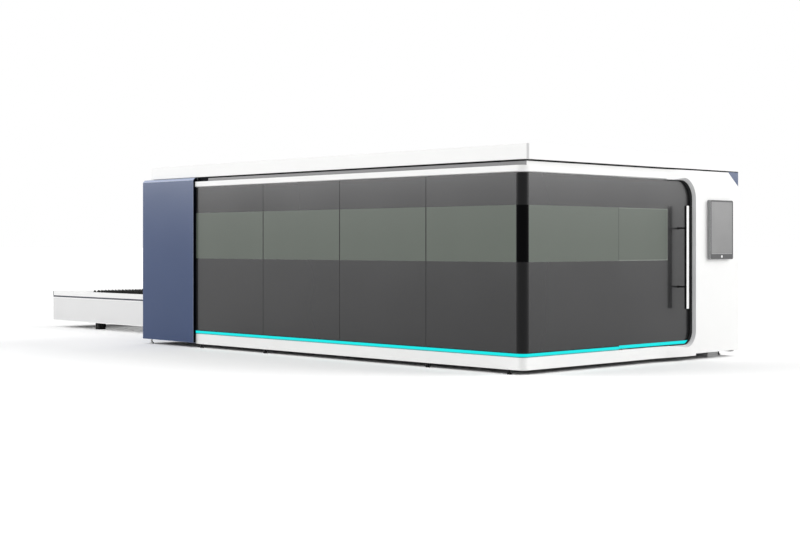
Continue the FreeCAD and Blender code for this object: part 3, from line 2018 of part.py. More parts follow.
def build():
    fill_sheet()
    piece("base_skirt", base_skirt())
    piece("levelling_feet", levelling_feet())
    side_panels()
    piece("fixed_windows", fixed_windows())
    piece("corner_post", corner_post())
    piece("end_panel", end_panel())
    piece("top_rail", top_rail())
    piece("roof_neck", roof_neck())
    piece("roof_cap", roof_cap())
    piece("light_strip", light_strip())
    piece("end_frame", end_frame())
    piece("accent_panel", accent_panel())
    piece("hall_posts", hall_posts())
    piece("end_door", end_door())
    piece("door_window", door_window())
    piece("door_handle", door_handle())
    piece("door_light_strip", door_light_strip())
    piece("door_track", door_track())
    piece("console_housing", console_housing())
    piece("console_screen", console_screen())
    piece("console_button", console_button())
    piece("portal_cheeks", portal_cheeks())
    piece("portal_front", portal_front())
    piece("entrance_gate", entrance_gate())
    piece("gate_guides", gate_guides())
    piece("far_panels", far_panels())
    piece("extraction_collar", extraction_collar())
    piece("cabinet_door_left", cabinet_door("left"))
    piece("cabinet_door_right", cabinet_door("right"))
    piece("electrical_cabinet", electrical_cabinet())
    piece("laser_source", laser_source())
    piece("bed_near_beam", bed_beam("near"))
    piece("bed_far_beam", bed_beam("far"))
    piece("bed_cross_members", bed_cross_members())
    piece("guide_rails", guide_rails())
    piece("pallet_tracks", pallet_tracks())
    piece("gantry_beam", gantry_beam())
    piece("gantry_saddles", gantry_saddles())
    piece("head_carriage", head_carriage())
    piece("z_slide", z_slide())
    piece("cutting_head", cutting_head())
    levels = {
        "upper": ("pallet_out + pallet_length", "0", "shaft_level + chain_outside + seat"),
        "lower": (
            "pallet_out + pallet_length - pallet_travel",
            "level_drop",
            "shaft_level - chain_inside + seat",
        ),
    }
    for level, (start, drop, lug_low) in levels.items():
        piece(f"{level}_pallet_frame", pallet_frame(start, drop, lug_low))
        piece(f"{level}_pallet_slats", pallet_slats(start, drop))
        piece(f"{level}_wheelset_outer", wheelset(start, "-", drop))
        piece(f"{level}_wheelset_inner", wheelset(start, "+", drop))
    piece("drive_shaft", sprocket_shaft("-drive_place", "table_width / 2 - side_wall - seat"))
    piece("idler_shaft", sprocket_shaft("-idler_place", "bed_inside - seat"))
    piece("transfer_chains", transfer_chains())
    piece("drive_gearmotor", drive_gearmotor())
    piece("table_side_beams", table_side_beams())
    piece("table_covers", table_covers())
    piece("table_deck", table_deck())
    piece("table_feet", table_feet())


def check():
    """Every object has to be up to date, and every piece a valid solid or set of solids."""
    DOC.recompute()
    for made in DOC.Objects:
        if "Invalid" in made.State or "Error" in made.State:
            raise ValueError(f"{made.Name} ({made.Label}) is {made.State}")
    for made in PIECES:
        shape = made.Shape
        if shape.isNull() or not shape.isValid() or not shape.Solids:
            raise ValueError(f"{made.Label} has no valid solid")


def write():
    os.makedirs("parts", exist_ok=True)
    for made in PIECES:
        made.Shape.exportStep(f"parts/{made.Label}.step")


build()
check()
write()
print(f"{len(PIECES)} pieces written")
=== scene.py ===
"""Looks of a fiber laser cutting machine with a shuttle table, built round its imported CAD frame."""

import json
import math

import bmesh
import bpy
from bpy.props import FloatProperty, FloatVectorProperty, PointerProperty
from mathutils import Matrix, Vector


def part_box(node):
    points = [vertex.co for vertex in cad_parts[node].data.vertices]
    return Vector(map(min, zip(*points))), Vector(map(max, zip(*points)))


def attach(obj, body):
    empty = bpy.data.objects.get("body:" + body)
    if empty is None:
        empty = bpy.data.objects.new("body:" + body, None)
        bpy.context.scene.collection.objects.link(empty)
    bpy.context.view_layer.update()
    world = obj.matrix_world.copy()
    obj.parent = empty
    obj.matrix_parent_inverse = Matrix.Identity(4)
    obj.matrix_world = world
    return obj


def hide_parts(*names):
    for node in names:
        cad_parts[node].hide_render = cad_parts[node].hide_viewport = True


bl_info = {
    "name": "Fiber laser cutting machine",
    "version": (1, 0, 0),
    "blender": (4, 5, 0),
    "location": "View3D > Sidebar > Cutting machine",
    "description": "Builds the looks of an enclosed laser cutter with its shuttle table",
    "category": "Add Mesh",
}

MM = 0.001
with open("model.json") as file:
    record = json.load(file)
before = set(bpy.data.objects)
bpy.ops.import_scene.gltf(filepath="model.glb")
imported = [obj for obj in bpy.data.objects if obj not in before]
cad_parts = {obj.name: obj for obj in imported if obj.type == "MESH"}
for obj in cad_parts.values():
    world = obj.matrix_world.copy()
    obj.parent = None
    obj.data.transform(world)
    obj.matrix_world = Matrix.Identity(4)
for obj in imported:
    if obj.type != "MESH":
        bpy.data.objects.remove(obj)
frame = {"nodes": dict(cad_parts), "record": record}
NODES = frame["nodes"]
SLOTS = {part["node"]: part["material_slot"] for part in frame["record"]["subparts"]}
BODIES = {
    node: body
    for body, nodes in frame["record"]["behaviour"]["bodies"].items()
    for node in nodes
}
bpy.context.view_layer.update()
# the hall's near corner: the end panel's face meets the near panels' face
CORNER = Vector((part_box("end_panel")[1].x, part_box("side_panel_1")[0].y, 0))
FINISH = {}
# in millimetres off the hall's near corner: the depth of the hall, the ends of the door
# opening's bevel along Y, and the foot and the top of the groove round the table
HALL_DEPTH = 3615
OPENING_START, OPENING_RIGHT = 2380, 2757
GROOVE_LOW, GROOVE_HIGH = 455, 477
# where the two places of a flat outline and its level go, for a shape drawn along an axis
DRAWN_ALONG = {"x": (2, 0, 1), "y": (0, 2, 1), "z": (0, 1, 2)}

# Each finish has its colour, as an sRGB code or the name of a setting, its roughness, the
# shader's other values, and the last arguments of surface() from cloud_mm on.
FINISHES = {
    # white powder coat: even and bright, with a soft sheen
    "white_powder_coat": ("white", 0.5, {"Specular IOR Level": 0.16}, 900, 0.012, 1.4, 0.012),
    # pale grey coat of the lower covers and the cabinets: a little duller than the white; also the
    # painted shade strip round the roof's near corner
    "light_grey_coat": ("#d6d6d6", 0.5, {"IOR": 1.5}, 700, 0.02, 1.4, 0.015),
    # painted shade: mid-grey on the recessed neck's faces, standing for the roof's shadow
    "mid_grey_coat": ("#747475", 0.5, {"IOR": 1.5}, 500, 0.03, 1.4, 0.01),
    # painted shade: pale grey on the bevel round the door opening, whose faces turn to the corner
    # between the two lights
    "frame_edge_grey": ("#c6c6c7", 0.5, {"IOR": 1.5}, 500, 0.03, 1.4, 0.01),
    # painted highlight: the same blue, paler, on the portal's top faces and rounded edges
    "pale_blue_edge": ("#a0abc6", 0.4, {"IOR": 1.5}, 500, 0.03, 1.4, 0.01),
    # dark panels: a satin dark base under a hard clear coat that mirrors the bar in front of it
    "gloss_dark_coat": (
        "grey",
        0.24,
        {"Specular IOR Level": 0.2, "Coat Weight": 0.38, "Coat Roughness": 0.06},
        1100,
        0.04,
        1.2,
        0.003,
    ),
    # nearly black satin lacquer of the post, the feet and the handle's sides: it takes light up
    "black_lacquer": ("#161617", 0.32, {"Specular IOR Level": 0.12}, 900, 0.06, 1.2, 0.004),
    # satin blue coat: greyed where light falls on it
    "satin_blue_coat": ("blue", 0.245, {"Specular IOR Level": 0.25}, 1000, 0.03, 1.4, 0.008),
    # painted shade: deep navy, nearly black, on the portal's return and on the plate in the neck's
    # gap beside it
    "deep_navy_coat": ("#04070f", 0.5, {"Specular IOR Level": 0.02}, 600, 0.08, 1.4, 0.01),
    # navy paint of the table's stripe: dull and dark between two white edges
    "navy_stripe_paint": ("#0a1229", 0.5, {"IOR": 1.5}, 600, 0.05, 1.4, 0.01),
    # black glass band of the post, level with the windows
    "deep_black_glass": ("#040405", 0.25, {"Specular IOR Level": 0.03}, 600, 0.05, 60, 0.004),
    # tinted laser safety glass: a dense greenish grey, with faint upright draw lines
    "laser_safety_glass": (
        "#555c54",
        0.3,
        {"Specular IOR Level": 0.12, "Coat Weight": 0.3, "Coat Roughness": 0.06},
        900,
        0.02,
        60,
        0.006,
        (1, 1, 0.06),
    ),
    # glazing bead round the door's window: matt greenish rubber
    "glazing_bead": ("#6b716a", 0.6, {"Specular IOR Level": 0.3}, 120, 0.1, 2.5, 0.05),
    # dark grey finish of the lip round the inside of the door opening: quite matt
    "door_seal_rubber": ("#38383a", 0.8, {"Specular IOR Level": 0.2}, 120, 0.1, 2.5, 0.08),
    # black rubber: takes the light up; also the black strips that stand as painted shadow lines under
    # the roof and over the light strip
    "black_rubber": ("#131313", 0.75, {"Specular IOR Level": 0.2}, 120, 0.12, 2.5, 0.08),
    # ground steel: pale, with a directional sheen
    "ground_steel": ("#b9babc", 0.34, {"Metallic": 1.0}, 200, 0.05, 3.0, 0.02, (0.15, 1, 1)),
    # scorched slat steel: a black oxide crust, matt and uneven where it burnt
    "scorched_steel": ("#1b1b19", 0.7, {"Specular IOR Level": 0.25}, 60, 0.35, 6, 0.2),
    # painted machine steel: mid-grey, orange-peel paint over a coarse weldment
    "machine_grey_paint": ("#7b7f84", 0.48, {"IOR": 1.5}, 300, 0.05, 3, 0.03),
    # cast iron under paint: coarse skin
    "painted_casting": ("#5d6166", 0.55, {"IOR": 1.5}, 90, 0.08, 5, 0.12),
    # anodised aluminium: pale satin metal
    "anodised_aluminium": ("#c9cbce", 0.4, {"Metallic": 1.0}, 150, 0.03, 2, 0.01),
    # screen glass of the console: an even grey when it is off
    "display_glass": ("#808080", 0.24, {"Specular IOR Level": 0.4}, 300, 0.03, 60, 0.004),
    # grey paint of the console's housing: even and satin
    "console_paint": ("#919293", 0.4, {"IOR": 1.5}, 200, 0.03, 1.2, 0.01),
    # darker paint of the frame round the console's screen
    "console_dark": ("#4e4e4f", 0.5, {"Specular IOR Level": 0.15}, 200, 0.03, 1.2, 0.01),
    # painted highlight: the housing's paint, paler on its rounded edges
    "console_edge": ("#cfcfd0", 0.4, {"IOR": 1.5}, 200, 0.03, 1.2, 0.01),
    # white push-button plastic: moulded, slightly glossy
    "white_plastic": ("#f4f4f4", 0.3, {"IOR": 1.46}, 30, 0.02, 1, 0.004),
    # painted glow: the teal of the lip under the light strip, which gives no light of its own
    "teal_retainer": ("#1d8f90", 0.4, {"IOR": 1.49}, 90, 0.05, 2, 0.01),
}


def at(x, y, z):
    """A place in the frame, from millimetres off the hall's near corner."""
    return CORNER + Vector((x, y, z)) * MM


def extent(node):
    """Lowest and highest corner of a CAD node, in millimetres off the hall's near corner."""
    return [tuple((corner - CORNER) / MM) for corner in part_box(node)]


def linear(code):
    """A linear colour with alpha, from an sRGB hex code."""
    parts = [int(code[i : i + 2], 16) / 255 for i in (1, 3, 5)]
    return (*[c / 12.92 if c <= 0.04045 else ((c + 0.055) / 1.055) ** 2.4 for c in parts], 1.0)


def add(tree, kind, settings=(), links=()):
    """Add a node, set its attributes and inputs by name, and link sockets into its inputs."""
    node = tree.nodes.new(kind)
    for key, value in dict(settings).items():
        if key in node.inputs:
            node.inputs[key].default_value = value
        else:
            setattr(node, key, value)
    for key, socket in dict(links).items():
        tree.links.new(socket, node.inputs[key])
    return node


def shaded(colour, share):
    """A colour made darker or lighter by a share."""
    return (*[channel * share for channel in colour[:3]], 1.0)


def blank(name):
    """The empty node tree of a new finish."""
    made = bpy.data.materials.new(name)
    made.use_nodes = True
    made.node_tree.nodes.clear()
    FINISH[name] = made
    return made.node_tree


def surface(name, colour, roughness, values, cloud_mm, mottle, grain_mm, depth, stretch=(1, 1, 1)):
    """A surface with a slow change of tone and gloss, and a fine relief.

    values are the shader's other inputs. cloud_mm is the size of the slow change, and mottle its
    strength. grain_mm is the relief's grain and depth its height in mm, and stretch scales the
    change and the grain along X, Y and Z.
    """
    tree = blank(name)
    place = add(tree, "ShaderNodeTexCoord").outputs["Object"]
    aligned = add(tree, "ShaderNodeMapping", {"Scale": stretch}, {"Vector": place}).outputs[0]
    slow, grain = [
        add(
            tree, "ShaderNodeTexNoise", {"Scale": 1 / (size * MM), "Detail": 2}, {"Vector": aligned}
        ).outputs[0]
        for size in (cloud_mm, grain_mm)
    ]
    # eased at both ends, so that the slow change has no visible edge
    cloud = add(
        tree,
        "ShaderNodeMapRange",
        {"interpolation_type": "SMOOTHERSTEP", "From Min": 0.15, "From Max": 0.85},
        {"Value": slow},
    ).outputs[0]
    tone = add(tree, "ShaderNodeMix", {"data_type": "RGBA"}, {0: cloud})
    tone.inputs[6].default_value = shaded(colour, 1 - mottle)
    tone.inputs[7].default_value = shaded(colour, 1 + mottle)
    # the gloss changes three times as much as the tone, and only towards duller
    gloss = add(
        tree,
        "ShaderNodeMapRange",
        {"To Min": roughness * (1 - mottle), "To Max": min(1.0, roughness * (1 + 3 * mottle))},
        {"Value": cloud},
    )
    relief = add(tree, "ShaderNodeBump", {"Strength": 1, "Distance": depth * MM}, {"Height": grain})
    shader = add(
        tree,
        "ShaderNodeBsdfPrincipled",
        values,
        {"Base Color": tone.outputs[2], "Roughness": gloss.outputs[0], "Normal": relief.outputs[0]},
    )
    add(tree, "ShaderNodeOutputMaterial", {}, {"Surface": shader.outputs[0]})


class CUTTER_PG_settings(bpy.types.PropertyGroup):
    """Sizes and colours that a user would change."""

    white: FloatVectorProperty(
        name="White coat",
        description="Powder coat of the roof, the rail, the column and the plinth",
        subtype="COLOR",
        size=4,
        min=0,
        max=1,
        default=linear("#ececeb"),
    )
    grey: FloatVectorProperty(
        name="Dark panels",
        description="Glossy coat of the wall panels and the sliding door",
        subtype="COLOR",
        size=4,
        min=0,
        max=1,
        default=linear("#232324"),
    )
    blue: FloatVectorProperty(
        name="Blue portal",
        description="Coat of the portal round the pallets' entrance",
        subtype="COLOR",
        size=4,
        min=0,
        max=1,
        default=linear("#31446a"),
    )
    glow: FloatVectorProperty(
        name="Light strip",
        description="Colour of the light strip over the plinth",
        subtype="COLOR",
        size=4,
        min=0,
        max=1,
        default=linear("#10efef"),
    )
    edge: FloatProperty(
        name="Folded edge",
        description="Radius of the rounded edges of folded sheet",
        subtype="DISTANCE",
        default=2.5 * MM,
        min=0,
    )
    tooth_pitch: FloatProperty(
        name="Slat tooth pitch",
        description="Distance between two teeth of a pallet slat",
        subtype="DISTANCE",
        default=60 * MM,
        min=0.01,
    )
    lens: FloatProperty(
        name="Lens",
        description="Focal length of the camera on a 36 mm sensor",
        subtype="DISTANCE_CAMERA",
        default=64.87,
    )
    world_light: FloatProperty(
        name="Room light", description="Even light from all round", default=0.7, min=0
    )


def settings():
    """The sizes and colours that the scene holds."""
    return bpy.context.scene.cutter


def linked(name, data):
    """A new object of the scene."""
    made = bpy.data.objects.new(name, data)
    bpy.context.scene.collection.objects.link(made)
    return made


def flatten(work):
    """Join the faces that lie in one plane."""
    bmesh.ops.dissolve_limit(
        work, angle_limit=math.radians(0.5), verts=work.verts, edges=work.edges
    )


def harden(work, sharp=32):
    """Shade all smooth but the edges that turn by sharp degrees or more."""
    for edge in work.edges:
        edge.smooth = len(edge.link_faces) == 2 and edge.calc_face_angle() < math.radians(sharp)
    for face in work.faces:
        face.smooth = True


def clean(mesh, flat=False, close=False):
    """Merge doubles, join flat faces or close open ends on request, and turn faces outwards."""
    work = bmesh.new()
    work.from_mesh(mesh)
    bmesh.ops.remove_doubles(work, verts=work.verts, dist=2e-6)
    if flat:
        flatten(work)
    if close:
        ends = [edge for edge in work.edges if len(edge.link_faces) == 1]
        bmesh.ops.holes_fill(work, edges=ends, sides=0)
    bmesh.ops.recalc_face_normals(work, faces=work.faces)
    harden(work)
    work.to_mesh(mesh)
    work.free()


def dress(name, mesh, body, bevel=0.0, segments=2, replaces=(), sharp=32):
    """Link a finished mesh as a piece that rides on a body."""
    piece = linked(name, mesh)
    if bevel:
        rounding = piece.modifiers.new("folded edge", "BEVEL")
        rounding.width = bevel
        rounding.segments = segments
        rounding.limit_method = "ANGLE"
        rounding.angle_limit = math.radians(sharp)
        rounding.harden_normals = True
        rounding.use_clamp_overlap = True
    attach(piece, body)
    if replaces:
        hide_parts(*replaces)
    return piece


def rounded_node(
    node, finish, bevel=None, segments=2, other=None, faces=None, edge_finish=None, sharp=32
):
    """A copy of a CAD node with its hard edges rounded, which stands for it.

    bevel is the rounding's width in mm. faces gets a face's outward direction and its middle in
    mm, and answers 0 for the finish, 1 for the other finish or 2 for the edges' finish. The
    rounded edges get edge_finish. Edges that turn by less than sharp degrees are left as part
    of a curve.
    """
    mesh = NODES[node].data.copy()
    mesh.name = node + "_rounded"
    for attribute in [a.name for a in mesh.attributes if a.name.startswith("custom")]:
        mesh.attributes.remove(mesh.attributes[attribute])
    mesh.materials.clear()
    for name in (finish, other or finish, edge_finish or finish):
        mesh.materials.append(FINISH[name])
    work = bmesh.new()
    work.from_mesh(mesh)
    bmesh.ops.remove_doubles(work, verts=work.verts, dist=2e-5)
    flatten(work)
    harden(work, sharp)
    for face in work.faces:
        middle = (face.calc_center_median() - CORNER) / MM
        face.material_index = int(faces(face.normal, middle)) if faces else 0
    work.to_mesh(mesh)
    work.free()
    width = settings().edge if bevel is None else bevel * MM
    piece = dress(node + "_look", mesh, BODIES[node], width, segments, [node], sharp)
    if edge_finish and width:
        piece.modifiers["folded edge"].material = 2


def repaint(node, finish):
    """Give a CAD node, whose shape stays, its finish."""
    mesh = NODES[node].data
    mesh.materials.clear()
    mesh.materials.append(FINISH[finish])
    mesh.polygons.foreach_set("material_index", [0] * len(mesh.polygons))


def tube(rows, size):
    """Faces that join rows of size points each, with a cap at both ends."""
    faces = []
    for row in range(rows - 1):
        near, far = row * size, (row + 1) * size
        for i in range(size):
            j = (i + 1) % size
            faces.append([near + i, near + j, far + j, far + i])
    return faces + [list(range(size)), [(rows - 1) * size + i for i in range(size)]]


class Shape:
    """Corners and faces gathered for one piece, in millimetres off the hall's near corner."""

    def __init__(self):
        self.spots, self.faces, self.kinds = [], [], []

    def add(self, spots, faces, kind=0):
        """More corners, and faces that count them from 0; kind is the number of their finish."""
        first = len(self.spots)
        self.spots += [tuple(spot) for spot in spots]
        self.faces += [[first + i for i in face] for face in faces]
        self.kinds += [kind] * len(faces)

    def prism(self, outline, axis, start, stop, kind=0):
        """An outline of pairs, drawn out along one axis."""
        count = len(outline)
        order = DRAWN_ALONG[axis]
        spots = [[(u, v, level)[i] for i in order] for level in (start, stop) for u, v in outline]
        ring = range(count)
        sides = [[i, (i + 1) % count, count + (i + 1) % count, count + i] for i in ring]
        caps = [list(reversed(ring)), [count + i for i in ring]]
        self.add(spots, sides + caps, kind)

    def box(self, low, high, kind=0):
        """A box between its lowest and its highest corner."""
        (x0, y0, z0), (x1, y1, z1) = low, high
        self.prism([(x0, y0), (x1, y0), (x1, y1), (x0, y1)], "z", z0, z1, kind)

    def lathe(self, outline, axis, centre, count, kind=0):
        """A closed solid turned round an axis, from pairs of distance along it and radius."""
        order = {"x": (0, 1, 2), "y": (1, 0, 2), "z": (1, 2, 0)}[axis]
        spots = []
        for along, radius in outline:
            for step in range(count):
                turn = 2 * math.pi * step / count
                whole = (along, radius * math.cos(turn), radius * math.sin(turn))
                spots.append([whole[order[i]] + centre[i] for i in range(3)])
        self.add(spots, tube(len(outline), count), kind)

    def sweep(self, section, path, axis, kind=0):
        """A section of (out, across) pairs carried along a flat path of (u, v, nu, nv).

        nu and nv are the path's outward normal in its plane, and axis is the plane's normal.
        """
        order = DRAWN_ALONG[axis]
        spots = []
        for u, v, nu, nv in path:
            for out, across in section:
                whole = (u + nu * out, v + nv * out, across)
                spots.append([whole[i] for i in order])
        self.add(spots, tube(len(path), len(section)), kind)

    def make(self, name, body, finishes, bevel=0.0, replaces=()):
        """Turn what is gathered into a piece with its finishes."""
        mesh = bpy.data.meshes.new(name)
        mesh.from_pydata([at(*spot) for spot in self.spots], [], self.faces)
        mesh.polygons.foreach_set("material_index", self.kinds)
        for finish in finishes:
            mesh.materials.append(FINISH[finish])
        clean(mesh)
        dress(name, mesh, body, bevel * MM, replaces=replaces)


def arc(u, v, radius, start, stop, steps):
    """Points of an arc with their outward normals; angles in degrees."""
    found = []
    for step in range(steps + 1):
        turn = math.radians(start + (stop - start) * step / steps)
        nu, nv = math.cos(turn), math.sin(turn)
        found.append((u + radius * nu, v + radius * nv, nu, nv))
    return found


def rounded_box(u0, v0, u1, v1, radii, steps=8):
    """Outline of a rectangle with its own radius at each corner, from the low corner round."""
    low_left, low_right, high_right, high_left = radii
    corners = (
        (u0 + low_left, v0 + low_left, low_left, 180),
        (u1 - low_right, v0 + low_right, low_right, 270),
        (u1 - high_right, v1 - high_right, high_right, 0),
        (u0 + high_left, v1 - high_left, high_left, 90),
    )
    outline = []
    for u, v, radius, start in corners:
        if radius < 0.01:
            outline.append((u, v))
            continue
        outline += [(a, b) for a, b, _, _ in arc(u, v, radius, start, start + 90, steps)]
    return outline


def plate(name, outer, holes, start, stop, body, finish, bevel):
    """A plate across X with openings, from its outlines of Y and Z, filled as a flat curve."""
    drawn = bpy.data.curves.new(name, "CURVE")
    drawn.dimensions = "2D"
    drawn.fill_mode = "BOTH"
    drawn.extrude = (stop - start) / 2 * MM
    for outline in (outer, *holes):
        spline = drawn.splines.new("POLY")
        spline.points.add(len(outline) - 1)
        for point, (u, v) in zip(spline.points, outline):
            point.co = (u * MM, v * MM, 0, 1)
        spline.use_cyclic_u = True
    holder = linked(name, drawn)
    bpy.context.view_layer.update()
    mesh = bpy.data.meshes.new_from_object(
        holder.evaluated_get(bpy.context.evaluated_depsgraph_get())
    )
    bpy.data.objects.remove(holder)
    middle = (start + stop) / 2 * MM
    for vertex in mesh.vertices:
        y, z, x = vertex.co
        vertex.co = CORNER + Vector((x + middle, y, z))
    mesh.materials.clear()
    mesh.materials.append(FINISH[finish])
    clean(mesh, flat=True)
    dress(name, mesh, body, bevel * MM)


def rows_tree():
    """Geometry Nodes that set a piece out in rows: along one step, and the row along another."""
    tree = bpy.data.node_groups.new("rows_of_pieces", "GeometryNodeTree")
    wanted = (
        ("Piece", "NodeSocketGeometry"),
        ("Start", "NodeSocketVector"),
        ("Along count", "NodeSocketInt"),
        ("Along step", "NodeSocketVector"),
        ("Across count", "NodeSocketInt"),
        ("Across step", "NodeSocketVector"),
        ("Finish", "NodeSocketMaterial"),
    )
    for label, kind in wanted:
        tree.interface.new_socket(label, in_out="INPUT", socket_type=kind)
    tree.interface.new_socket("Rows", in_out="OUTPUT", socket_type="NodeSocketGeometry")
    given = add(tree, "NodeGroupInput").outputs
    row, start = given["Piece"], {}
    for side in ("Along", "Across"):
        line = add(
            tree,
            "GeometryNodeMeshLine",
            {"mode": "OFFSET"},
            {"Count": given[side + " count"], "Offset": given[side + " step"], **start},
        )
        row = add(
            tree, "GeometryNodeInstanceOnPoints", {}, {"Points": line.outputs[0], "Instance": row}
        ).outputs[0]
        start = {"Start Location": given["Start"]}
    whole = add(tree, "GeometryNodeRealizeInstances", {}, {"Geometry": row}).outputs[0]
    dressed = add(
        tree, "GeometryNodeSetMaterial", {}, {"Geometry": whole, "Material": given["Finish"]}
    ).outputs[0]
    add(tree, "NodeGroupOutput", {}, {"Rows": dressed})
    return tree


def rows(name, cell, finish, start, along, across, body, slot, replaces=()):
    """One mesh of a Shape's copies; start in mm, and along and across as count and step in mm."""
    mesh = bpy.data.meshes.new(name + "_cell")
    mesh.from_pydata([Vector(spot) * MM for spot in cell.spots], [], cell.faces)
    holder = linked(name, mesh)
    tree = bpy.data.node_groups.get("rows_of_pieces") or rows_tree()
    spread = holder.modifiers.new("rows", "NODES")
    spread.node_group = tree
    values = {
        "Start": list(at(*start)),
        "Along count": along[0],
        "Along step": [step * MM for step in along[1]],
        "Across count": across[0],
        "Across step": [step * MM for step in across[1]],
        "Finish": FINISH[finish],
    }
    for socket in tree.interface.items_tree:
        if socket.name in values:
            spread[socket.identifier] = values[socket.name]
    bpy.context.view_layer.update()
    graph = bpy.context.evaluated_depsgraph_get()
    made = bpy.data.meshes.new_from_object(holder.evaluated_get(graph))
    bpy.data.objects.remove(holder)
    made.name = name
    made.materials.clear()
    made.materials.append(FINISH[finish])
    made.polygons.foreach_set("material_index", [0] * len(made.polygons))
    clean(made, close=True)
    dress(name, made, body, replaces=replaces)


class CUTTER_OT_finishes(bpy.types.Operator):
    """Make the finishes"""

    bl_idname = "cutter.finishes"
    bl_label = "Finishes"

    def execute(self, context):
        own = settings()
        for name, (colour, *values) in FINISHES.items():
            surface(name, linear(colour) if colour[0] == "#" else getattr(own, colour), *values)
        self.diffuser(own.glow)
        return {"FINISHED"}

    def diffuser(self, colour):
        """A glowing opal diffuser: its own light, a little uneven over the diodes behind it."""
        tree = blank("glowing_diffuser")
        diode_spacing = 120 * MM
        place = add(tree, "ShaderNodeTexCoord").outputs["Object"]
        cloud = add(
            tree, "ShaderNodeTexNoise", {"Scale": 1 / diode_spacing, "Detail": 1}, {"Vector": place}
        )
        tone = add(tree, "ShaderNodeMix", {"data_type": "RGBA"}, {0: cloud.outputs[0]})
        tone.inputs[6].default_value = shaded(colour, 0.94)
        tone.inputs[7].default_value = shaded(colour, 1.0)
        values = {
            "Base Color": linear("#021414"),
            "Roughness": 0.5,
            "Specular IOR Level": 0.05,
            "Emission Strength": 0.98,
        }
        shader = add(tree, "ShaderNodeBsdfPrincipled", values, {"Emission Color": tone.outputs[2]})
        add(tree, "ShaderNodeOutputMaterial", {}, {"Surface": shader.outputs[0]})


class CUTTER_OT_walls(bpy.types.Operator):
    """Round the edges of the wall panels, the post and the plinth"""

    bl_idname = "cutter.walls"
    bl_label = "Walls and plinth"

    def execute(self, context):
        for index in range(1, 5):
            rounded_node(f"side_panel_{index}", "gloss_dark_coat", 1.5)
        rounded_node("end_panel", "gloss_dark_coat", 1.5)
        rounded_node("base_skirt", "white_powder_coat", 2)
        rounded_node("fixed_windows", "laser_safety_glass", 0.8)
        repaint("hall_posts", "machine_grey_paint")
        rounded_node(
            "light_strip",
            "glowing_diffuser",
            1,
            other="black_rubber",
            faces=lambda way, middle: way.x < -0.3 or way.y > 0.3,
        )
        self.post()
        self.retainers()
        return {"FINISHED"}

    def retainers(self):
        """Teal lip under the light strip as painted glow, and a black lip over it as a painted shadow
        line, round the hall's near corner.
        """
        low, high = extent("light_strip")
        radius = extent("corner_post")[1][1] - low[1]
        path = [(low[0], low[1], 0, -1)]
        path += arc(high[0] - radius, low[1] + radius, radius, 270, 360, 12)
        path += [(high[0], high[1], 1, 0)]
        back, front = -0.5, 0.8
        # the lower lip's teal is painted glow, and the upper lip's black a painted shadow line
        for name, bottom, top, finish in (
            ("strip_retainer", low[2], low[2] + 9, "teal_retainer"),
            ("strip_upper_lip", high[2] - 8, high[2], "black_rubber"),
        ):
            shape = Shape()
            shape.sweep([(back, bottom), (front, bottom), (front, top), (back, top)], path, "z")
            shape.make(name, "machine", [finish])

    def post(self):
        """Dark quarter-round post, with a black band level with the windows."""
        low, high = extent("corner_post")
        band = extent("fixed_windows")
        radius, wall = high[0] - low[0], 28
        centre = (low[0], low[1] + radius)
        shape = Shape()
        levels = [(low[2], band[0][2], 0), (band[0][2], band[1][2], 1), (band[1][2], high[2], 0)]
        outer = arc(*centre, radius, 270, 360, 16)
        inner = arc(*centre, radius - wall, 360, 270, 12)
        outline = [(u, v) for u, v, _, _ in outer + inner]
        for bottom, top, kind in levels:
            shape.prism(outline, "z", bottom, top, kind)
        shape.make(
            "corner_post_look",
            "machine",
            ["black_lacquer", "deep_black_glass"],
            replaces=["corner_post"],
        )


